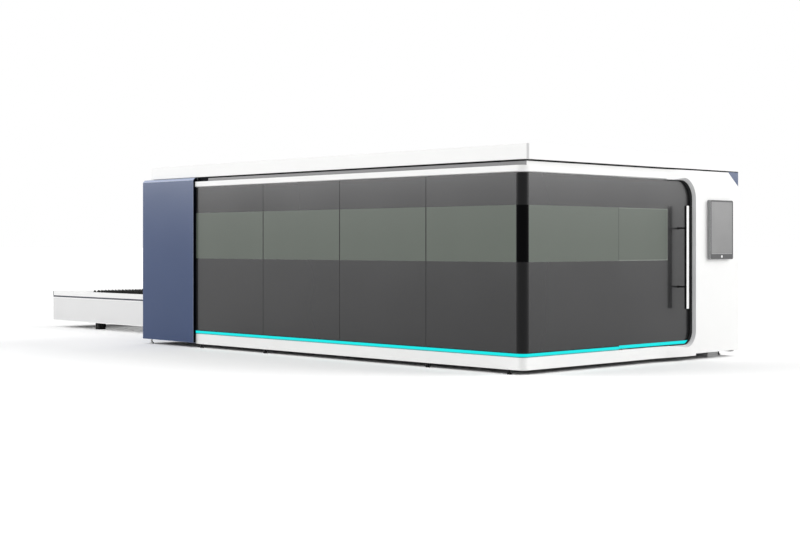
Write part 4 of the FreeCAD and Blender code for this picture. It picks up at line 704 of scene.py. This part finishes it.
class CUTTER_OT_roof(bpy.types.Operator):
    """Round the edges of the roof, its neck and the top rail"""

    bl_idname = "cutter.roof"
    bl_label = "Roof and rail"

    def execute(self, context):
        rounded_node("roof_cap", "white_powder_coat", 4, 3, sharp=60)
        # painted shade: the neck's faces are mid-grey as the roof's shadow, while its faces towards
        # +X stay white
        rounded_node(
            "roof_neck",
            "mid_grey_coat",
            1.5,
            other="white_powder_coat",
            faces=lambda way, middle: way.x > 0.5,
        )
        rounded_node("top_rail", "white_powder_coat", 16, 5)
        self.corner_strip()
        self.neck_end()
        return {"FINISHED"}

    def corner_strip(self):
        """Pale grey strip round the roof's near corner, as painted shade of its rounded corner."""
        low, high = extent("roof_cap")
        radius, proud, thickness = 22, 0.7, 2
        centre = (high[0] - radius, low[1] + radius)
        outer = arc(*centre, radius + proud, 276, 354, 10)
        inner = arc(*centre, radius + proud - thickness, 354, 276, 10)
        shape = Shape()
        outline = [(u, v) for u, v, _, _ in outer + inner]
        shape.prism(outline, "z", low[2] + 2, high[2] - 3)
        # painted shade: a pale grey strip over the roof's rounded corner
        shape.make("roof_corner_strip", "machine", ["light_grey_coat"])

    def neck_end(self):
        """Painted shade beside the portal: a dark plate in the neck's gap, and black strips as
        painted shadow lines under the roof along the neck, the arm and the blue corner.
        """
        neck, arm, accent = extent("roof_neck"), extent("end_frame"), extent("accent_panel")
        start, neck_side = extent("portal_cheeks")[1][0], neck[0][1]
        stop = start + 190
        # painted shade: a deep navy plate in the neck's gap beside the portal
        cheek = Shape()
        cheek.box(
            (start - 4, neck_side - 5, extent("top_rail")[1][2]),
            (stop, neck_side + 1, neck[1][2] - 2),
        )
        cheek.make("neck_cheek", "machine", ["deep_navy_coat"], 1)
        gap, depth, height, blend, thickness, slant = 2, 10, 16, 300, 12, 4
        neck_end, low, high = neck[1][0], neck[1][2] - height, neck[1][2]
        corner = neck_side + gap + depth
        arm_start, arm_front = arm[0][1], arm[1][0] - 4
        # black strips as painted shadow lines in the gap under the roof
        shadow_strip = Shape()
        shadow_strip.box((stop, neck_side + gap, low), (neck_end - 20, corner, high))
        shadow_strip.box((neck_end - gap - depth, corner, low), (neck_end - gap, arm_start, high))
        line = [(neck_end, arm_start), (arm_front, arm_start + blend), (arm_front, accent[0][1] - 2)]
        back = [(u - thickness, v + slant) for u, v in reversed(line)]
        shadow_strip.prism(line + back, "z", arm[1][2], high)
        shadow_strip.box((accent[1][0], accent[0][1], high - 9), (accent[1][0] + 2, accent[1][1] - 3, high))
        shadow_strip.make("neck_seal", "machine", ["black_rubber"], 1)


class CUTTER_OT_end_frame(bpy.types.Operator):
    """Build the column with its door opening, its liner and the blue corner"""

    bl_idname = "cutter.end_frame"
    bl_label = "End frame"

    def execute(self, context):
        # painted shade: the slanted faces of the bevel round the opening are grey
        rounded_node(
            "end_frame",
            "white_powder_coat",
            2,
            other="frame_edge_grey",
            faces=lambda way, middle: 0.3 < way.x < 0.95 and middle.y > OPENING_START,
        )
        rounded_node("accent_panel", "satin_blue_coat", 1)
        self.liner()
        self.fairings()
        return {"FINISHED"}

    def fairings(self):
        """Thin white wedges that lead the plinth's and the neck's faces up to the arms'."""
        start, length = extent("end_frame")[0][1], 140
        arm_face = extent("top_rail")[1][0]
        skirt, neck, shadow_strip_height = extent("base_skirt"), extent("roof_neck"), 17
        shape = Shape()
        for face, bottom, top in (
            (skirt[1][0], skirt[0][2], skirt[1][2]),
            (neck[1][0], neck[0][2], neck[1][2] - shadow_strip_height),
        ):
            wedge = [(face - 1, start - length), (arm_face + 0.2, start + 1), (face - 1, start + 1)]
            shape.prism(wedge, "z", bottom, top)
        shape.make("arm_fairings", "machine", ["white_powder_coat"])

    def liner(self):
        """Dark grey lip round the inside of the opening."""
        top, bottom = extent("end_panel")[1][2], extent("base_skirt")[1][2]
        upper, lower = 200, 150
        path = [(OPENING_START, top, 0, 1)]
        path += reversed(arc(OPENING_RIGHT - upper, top - upper, upper, 0, 90, 14))
        path += reversed(arc(OPENING_RIGHT - lower, bottom + lower, lower, -90, 0, 14))
        path += [(OPENING_START, bottom, 0, -1)]
        back, front, outside, inside = -11, 17, -0.2, -5
        section = [(outside, back), (outside, front), (inside, front), (inside, back)]
        shape = Shape()
        shape.sweep(section, path, "x")
        shape.make("opening_liner", "machine", ["door_seal_rubber"], 0.8)


class CUTTER_OT_door(bpy.types.Operator):
    """Build the sliding door with its window and its pull handle"""

    bl_idname = "cutter.door"
    bl_label = "Sliding door"

    def execute(self, context):
        rounded_node("end_door", "gloss_dark_coat", 1.5)
        self.window()
        rounded_node(
            "door_light_strip",
            "glowing_diffuser",
            1,
            other="black_rubber",
            faces=lambda way, middle: way.x < 0.3,
        )
        repaint("door_track", "machine_grey_paint")
        self.handle()
        return {"FINISHED"}

    def window(self):
        """Pane with rounded outer corners in a thin glazing bead."""
        low, high = extent("door_window")
        rim = 9
        hole = rounded_box(
            low[1] + rim, low[2] + rim, high[1] - rim, high[2] - rim, (6, 26, 26, 6)
        )
        plate(
            "door_window_bead",
            rounded_box(low[1], low[2], high[1], high[2], (0, 0, 0, 0)),
            [hole],
            high[0] - 4,
            high[0] + 0.8,
            "door",
            "glazing_bead",
            0.4,
        )
        rounded_node("door_window", "laser_safety_glass", 0.6)

    def handle(self):
        """Flat bar: white outside, dark on its sides, on two dark standoffs."""
        low, high = extent("door_handle")
        face, y0, y1 = high[0], low[1], high[1]
        bar, cap, rim, standoffs = 28, 3, 2, (797, 1425)
        shape = Shape()
        shape.box((face - bar, y0, low[2]), (face - cap, y1, high[2]), 1)
        shape.box((face - cap, y0 + rim, low[2] + rim), (face, y1 - rim, high[2] - rim), 0)
        foot = extent("end_door")[1][0]
        flange, neck, flange_height = 16, 9, 4
        outline = [
            (foot, flange),
            (foot + flange_height, flange),
            (foot + flange_height, neck),
            (face - bar + 1, neck),
        ]
        for level in standoffs:
            shape.lathe(outline, "x", (0, (y0 + y1) / 2, level), 28, 1)
        shape.make(
            "door_handle_look",
            "door",
            ["white_powder_coat", "black_lacquer"],
            1.2,
            replaces=["door_handle"],
        )


class CUTTER_OT_console(bpy.types.Operator):
    """Build the console with its screen and its button"""

    bl_idname = "cutter.console"
    bl_label = "Console"

    def execute(self, context):
        # painted highlight: the housing's rounded edges are paler
        rounded_node("console_housing", "console_paint", 6, edge_finish="console_edge")
        rounded_node("console_screen", "display_glass", 0.6)
        rounded_node("console_button", "white_plastic", 1.2)
        self.trims()
        return {"FINISHED"}

    def trims(self):
        """Dark frame round the screen, and the dark bar that carries the button."""
        low, high = extent("console_housing")
        rim, inner, bar_top, well_radius = 3, 20, 60, 17
        outline = rounded_box(
            low[1] + rim, low[2] + rim, high[1] - rim, high[2] - rim, (20, 20, 20, 20)
        )
        hole = rounded_box(
            low[1] + inner, low[2] + bar_top, high[1] - inner, high[2] - inner, (5, 5, 11, 11)
        )
        button = extent("console_button")
        middle = [(button[0][i] + button[1][i]) / 2 for i in range(3)]
        well = [(u, v) for u, v, _, _ in arc(middle[1], middle[2], well_radius, 0, 345, 23)]
        plate(
            "console_frame",
            outline,
            [hole, well],
            high[0] - 0.5,
            high[0] + 1.2,
            "machine",
            "console_dark",
            0.5,
        )


class CUTTER_OT_portal(bpy.types.Operator):
    """Round the blue portal, its gate and their guides"""

    bl_idname = "cutter.portal"
    bl_label = "Portal and gate"

    def execute(self, context):
        # painted highlight in pale blue on the portal's top faces and rounded edges, and painted
        # shade in deep navy on its faces towards +X
        rounded_node(
            "portal_cheeks",
            "satin_blue_coat",
            12,
            3,
            other="deep_navy_coat",
            faces=lambda way, middle: 2 if way.z > 0.3 else way.x > 0.9,
            edge_finish="pale_blue_edge",
        )
        rounded_node("portal_front", "satin_blue_coat", 2)
        rounded_node("entrance_gate", "light_grey_coat", 1.5)
        repaint("gate_guides", "machine_grey_paint")
        return {"FINISHED"}


class CUTTER_OT_far_side(bpy.types.Operator):
    """Round the far panels, the cabinet doors and the duct collar"""

    bl_idname = "cutter.far_side"
    bl_label = "Far side"

    def execute(self, context):
        rounded_node("far_panels", "white_powder_coat", 2)
        rounded_node("cabinet_door_left", "white_powder_coat", 1.5)
        rounded_node("cabinet_door_right", "white_powder_coat", 1.5)
        rounded_node("extraction_collar", "ground_steel", 0.8)
        repaint("electrical_cabinet", "light_grey_coat")
        rounded_node("laser_source", "light_grey_coat", 3)
        for side in ("left", "right"):
            self.louvres(f"cabinet_door_{side}")
        self.screws()
        return {"FINISHED"}

    def louvres(self, node):
        """Pressed louvres in two columns, at the foot and near the top of a cabinet door."""
        low, high = extent(node)
        width, gap, spacing, count = 190, 36, 30, 8
        cell = Shape()
        cell.prism([(0, 0), (5, 0), (5, 3), (0, 16)], "x", 0, width)
        middle = (low[0] + high[0]) / 2
        for label, level in (("lower", low[2] + 110), ("upper", high[2] - 380)):
            rows(
                f"{node}_louvres_{label}",
                cell,
                "white_powder_coat",
                (middle - width - gap / 2, HALL_DEPTH + 1, level),
                (count, (0, 0, spacing)),
                (2, (width + gap, 0, 0)),
                BODIES[node],
                SLOTS[node],
            )

    def screws(self):
        """Domed screws in columns down the far panels' edges."""
        columns = (-1335, -2595, -2655, -3915, -3975, -5215)
        lowest, spacing, count = 320, 380, 5
        cell = Shape()
        cell.lathe([(-1, 9), (1.2, 9), (3, 6.5), (3.8, 3)], "y", (0, 0, 0), 12)
        for index, x in enumerate(columns):
            rows(
                f"far_panel_screws_{index + 1}",
                cell,
                "ground_steel",
                (x, HALL_DEPTH, lowest),
                (count, (0, 0, spacing)),
                (1, (1, 0, 0)),
                "machine",
                "steel",
            )


class CUTTER_OT_bed(bpy.types.Operator):
    """Finish the bed, its rails and the pallets' tracks"""

    bl_idname = "cutter.bed"
    bl_label = "Bed and tracks"

    def execute(self, context):
        rounded_node("bed_near_beam", "machine_grey_paint", 6)
        rounded_node("bed_far_beam", "machine_grey_paint", 6)
        repaint("bed_cross_members", "machine_grey_paint")
        rounded_node("guide_rails", "ground_steel", 1)
        rounded_node("pallet_tracks", "machine_grey_paint", 1.5)
        # the feet under the portal are white, and the others black
        portal_end = extent("portal_cheeks")[1][0] + 2
        rounded_node(
            "levelling_feet",
            "black_lacquer",
            0,
            other="white_powder_coat",
            faces=lambda way, middle: middle.x < portal_end,
        )
        return {"FINISHED"}


class CUTTER_OT_gantry(bpy.types.Operator):
    """Finish the gantry, the carriage and the cutting head"""

    bl_idname = "cutter.gantry"
    bl_label = "Gantry and head"

    def execute(self, context):
        rounded_node("gantry_beam", "painted_casting", 3)
        rounded_node("gantry_saddles", "painted_casting", 3)
        rounded_node("head_carriage", "light_grey_coat", 2)
        rounded_node("z_slide", "ground_steel", 1)
        rounded_node("cutting_head", "anodised_aluminium", 1)
        return {"FINISHED"}


class CUTTER_OT_pallets(bpy.types.Operator):
    """Finish the two pallets, their wheels, the shafts and the chains"""

    bl_idname = "cutter.pallets"
    bl_label = "Pallets and drive"

    def execute(self, context):
        for level in ("upper", "lower"):
            rounded_node(f"{level}_pallet_frame", "machine_grey_paint", 1.5)
            self.slats(level)
            for end in ("outer", "inner"):
                rounded_node(f"{level}_wheelset_{end}", "ground_steel", 1)
        rounded_node("drive_shaft", "ground_steel", 0.8)
        rounded_node("idler_shaft", "ground_steel", 0.8)
        rounded_node("transfer_chains", "scorched_steel", 1)
        rounded_node("drive_gearmotor", "painted_casting", 3)
        return {"FINISHED"}

    def slats(self, level):
        """Upright slats, cut into close pointed teeth that stand a little above the table."""
        node = f"{level}_pallet_slats"
        low, high = extent(node)
        width = high[1] - low[1]
        teeth = round(width * MM / settings().tooth_pitch)
        pitch = width / teeth
        thickness, spacing, depth, proud = 4, 130, 36, 30
        count = round((high[0] - low[0] - thickness) / spacing) + 1
        tip = high[2] - low[2] + proud
        outline = [(0, 0), (pitch, 0), (pitch, tip - depth), (pitch / 2, tip), (0, tip - depth)]
        cell = Shape()
        cell.prism(outline, "x", 0, thickness)
        # the cell's two ends stay open, where the next tooth joins on
        cell.faces = [face for index, face in enumerate(cell.faces) if index not in (1, 4)]
        rows(
            node + "_look",
            cell,
            "scorched_steel",
            low,
            (teeth, (0, pitch, 0)),
            (count, (spacing, 0, 0)),
            BODIES[node],
            SLOTS[node],
            [node],
        )


class CUTTER_OT_table(bpy.types.Operator):
    """Build the shuttle table's sides, its deck, its stripe and its feet"""

    bl_idname = "cutter.table"
    bl_label = "Shuttle table"

    def execute(self, context):
        rounded_node("table_side_beams", "white_powder_coat", 2)
        rounded_node("table_covers", "light_grey_coat", 1.5)
        rounded_node("table_deck", "white_powder_coat", 1.5)
        rounded_node("table_feet", "black_rubber", 4)
        self.stripe()
        self.trims()
        self.foot_plates()
        return {"FINISHED"}

    def stripe(self):
        """Navy stripe in the groove under the white band, turned up at the table's outer end."""
        low, high = extent("table_covers")
        outer, stop = extent("table_deck")[0][0], extent("table_side_beams")[1][0]
        sheet, inset = 6, 1.5
        near, far = low[1] + inset, high[1] - inset
        shape = Shape()
        for y0, y1 in ((near, low[1] + sheet), (high[1] - sheet, far)):
            shape.box((low[0] + sheet, y0, GROOVE_LOW), (stop, y1, GROOVE_HIGH))
        shape.box((low[0] + inset, near, GROOVE_LOW), (low[0] + sheet, far, GROOVE_HIGH))
        top = extent("table_deck")[1][2] - 6
        for side in (low[1] - 1, high[1] - 1.5):
            shape.box((outer + 2, side, GROOVE_HIGH), (outer + 18, side + 2.5, top))
        shape.make("table_stripe", "machine", ["navy_stripe_paint"])

    def trims(self):
        """White strips along the top and the foot of the lower covers."""
        low, high = extent("table_covers")
        inner, height = extent("table_side_beams")[1][0], 14
        shape = Shape()
        for bottom, top in ((low[2], low[2] + height), (GROOVE_LOW - height, GROOVE_LOW)):
            for y0, y1 in ((low[1] - 1.5, low[1] + 1), (high[1] - 1, high[1] + 1.5)):
                shape.box((low[0], y0, bottom), (inner, y1, top))
        shape.make("table_cover_edges", "machine", ["white_powder_coat"], 0.6)

    def foot_plates(self):
        """A shallow black plate on both outer faces of each foot."""
        low, high = extent("table_feet")
        side, margin, bottom, top = 110, 30, 34, 76
        shape = Shape()
        for x in (low[0], high[0] - side):
            for face in (low[1] - 1.5, high[1] - 1):
                shape.box((x + margin, face, bottom), (x + side - margin, face + 2.5, top))
        shape.make("table_foot_plates", "machine", ["black_lacquer"], 0.8)


class CUTTER_OT_stage(bpy.types.Operator):
    """Build the floor, the lights and the camera"""

    bl_idname = "cutter.stage"
    bl_label = "Stage"

    def execute(self, context):
        scene = context.scene
        scene.view_settings.view_transform = "Standard"
        self.floor()
        self.world(scene)
        # one soft light for the near side and one for the end, so a corner between them is greyer
        self.lamp("near_side", source=(-0.66, -0.62, 0.42), strength=1.42)
        self.lamp("end_side", source=(0.63, 0.65, 0.42), strength=1.76)
        # two lit boards that only reflections show, so the coats shade off towards the floor
        self.board("near_board", (-8.6, -11.6, 4.7), target=(-2, -1.8, 1.5), width=13, power=1300)
        self.board("end_board", (12.4, 9.8, 4.7), target=(5.1, 0.6, 1.5), width=12, power=1250)
        view = bpy.data.cameras.new("camera")
        view.sensor_width = 36
        view.lens = settings().lens
        # the horizon's height over the photograph's middle, as a share of its width in pixels
        view.shift_y = -22.26 / 800
        # where a camera fitted to the photograph's straight edges stands, and how it is turned
        camera = linked("camera", view)
        camera.location = at(9048, -10368.5, 1252.5)
        camera.rotation_euler = (math.radians(90), 0, math.radians(45.985))
        scene.camera = camera
        return {"FINISHED"}

    def lamp(self, name, source, strength):
        """A broad far light that comes from the direction source."""
        light = bpy.data.lights.new(name, "SUN")
        light.energy = strength
        light.angle = math.radians(44)
        holder = linked(name, light)
        holder.rotation_euler = (-Vector(source)).to_track_quat("-Z", "Y").to_euler()

    def board(self, name, place, target, width, power):
        """A lit board for reflections alone."""
        light = bpy.data.lights.new(name, "AREA")
        light.shape = "RECTANGLE"
        light.size, light.size_y = width, 3.6
        light.energy = power
        holder = linked(name, light)
        holder.location = place
        way = Vector(target) - Vector(place)
        holder.rotation_euler = way.to_track_quat("-Z", "Y").to_euler()
        holder.visible_diffuse = False
        holder.visible_camera = False

    def seen(self, tree):
        """1 for the camera and for reflected or transmitted views, and 0 for light on others."""
        path = add(tree, "ShaderNodeLightPath")
        seen = path.outputs["Is Camera Ray"]
        for kind in ("Is Glossy Ray", "Is Transmission Ray"):
            seen = add(
                tree, "ShaderNodeMath", {"operation": "MAXIMUM"}, {0: seen, 1: path.outputs[kind]}
            ).outputs[0]
        return seen

    def floor(self):
        """A plain pale floor, which reads as white to the camera and keeps the shadows."""
        tree = blank("pale_floor")
        place = add(tree, "ShaderNodeTexCoord").outputs["Object"]
        cloud = add(tree, "ShaderNodeTexNoise", {"Scale": 0.4, "Detail": 2}, {"Vector": place})
        tone = add(tree, "ShaderNodeMix", {"data_type": "RGBA"}, {0: cloud.outputs[0]})
        tone.inputs[6].default_value = (0.85, 0.85, 0.85, 1)
        tone.inputs[7].default_value = (0.87, 0.87, 0.87, 1)
        bright = add(
            tree, "ShaderNodeMix", {"data_type": "RGBA"}, {0: self.seen(tree), 6: tone.outputs[2]}
        )
        # over 1, so that the lit floor reaches plain white
        bright.inputs[7].default_value = (1.1, 1.1, 1.1, 1)
        shader = add(tree, "ShaderNodeBsdfDiffuse", {}, {"Color": bright.outputs[2]})
        add(tree, "ShaderNodeOutputMaterial", {}, {"Surface": shader.outputs[0]})
        mesh = bpy.data.meshes.new("floor")
        reach = 400
        mesh.from_pydata(
            [(-reach, -reach, 0), (reach, -reach, 0), (reach, reach, 0), (-reach, reach, 0)],
            [],
            [(0, 1, 2, 3)],
        )
        mesh.materials.append(FINISH["pale_floor"])
        floor = linked("floor", mesh)

    def world(self, scene):
        """White to the camera and in reflections, and an even room light on everything else."""
        world = bpy.data.worlds.new("room")
        scene.world = world
        world.use_nodes = True
        tree = world.node_tree
        tree.nodes.clear()
        room = add(tree, "ShaderNodeBackground", {"Strength": settings().world_light})
        white = add(tree, "ShaderNodeBackground", {"Strength": 1.0})
        room.inputs["Color"].default_value = (1, 1, 1, 1)
        white.inputs["Color"].default_value = (1, 1, 1, 1)
        mixed = add(
            tree,
            "ShaderNodeMixShader",
            {},
            {0: self.seen(tree), 1: room.outputs[0], 2: white.outputs[0]},
        )
        add(tree, "ShaderNodeOutputWorld", {}, {"Surface": mixed.outputs[0]})


class CUTTER_PT_panel(bpy.types.Panel):
    """Panel that lists the machine's sizes, colours and pieces"""

    bl_idname = "CUTTER_PT_panel"
    bl_label = "Cutting machine"
    bl_space_type = "VIEW_3D"
    bl_region_type = "UI"
    bl_category = "Cutting machine"

    def draw(self, context):
        own = context.scene.cutter
        for name in own.bl_rna.properties.keys():
            if name not in ("rna_type", "name"):
                self.layout.prop(own, name)
        for operator in OPERATORS:
            self.layout.operator(operator.bl_idname)


OPERATORS = (
    CUTTER_OT_finishes,
    CUTTER_OT_walls,
    CUTTER_OT_roof,
    CUTTER_OT_end_frame,
    CUTTER_OT_door,
    CUTTER_OT_console,
    CUTTER_OT_portal,
    CUTTER_OT_far_side,
    CUTTER_OT_bed,
    CUTTER_OT_gantry,
    CUTTER_OT_pallets,
    CUTTER_OT_table,
    CUTTER_OT_stage,
)
CLASSES = (CUTTER_PG_settings, *OPERATORS, CUTTER_PT_panel)


def register():
    for made in CLASSES:
        bpy.utils.register_class(made)
    bpy.types.Scene.cutter = PointerProperty(type=CUTTER_PG_settings)


def unregister():
    del bpy.types.Scene.cutter
    for made in reversed(CLASSES):
        bpy.utils.unregister_class(made)


def main():
    register()
    for operator in OPERATORS:
        group, name = operator.bl_idname.split(".")
        getattr(getattr(bpy.ops, group), name)()


if __name__ == "__main__":
    main()
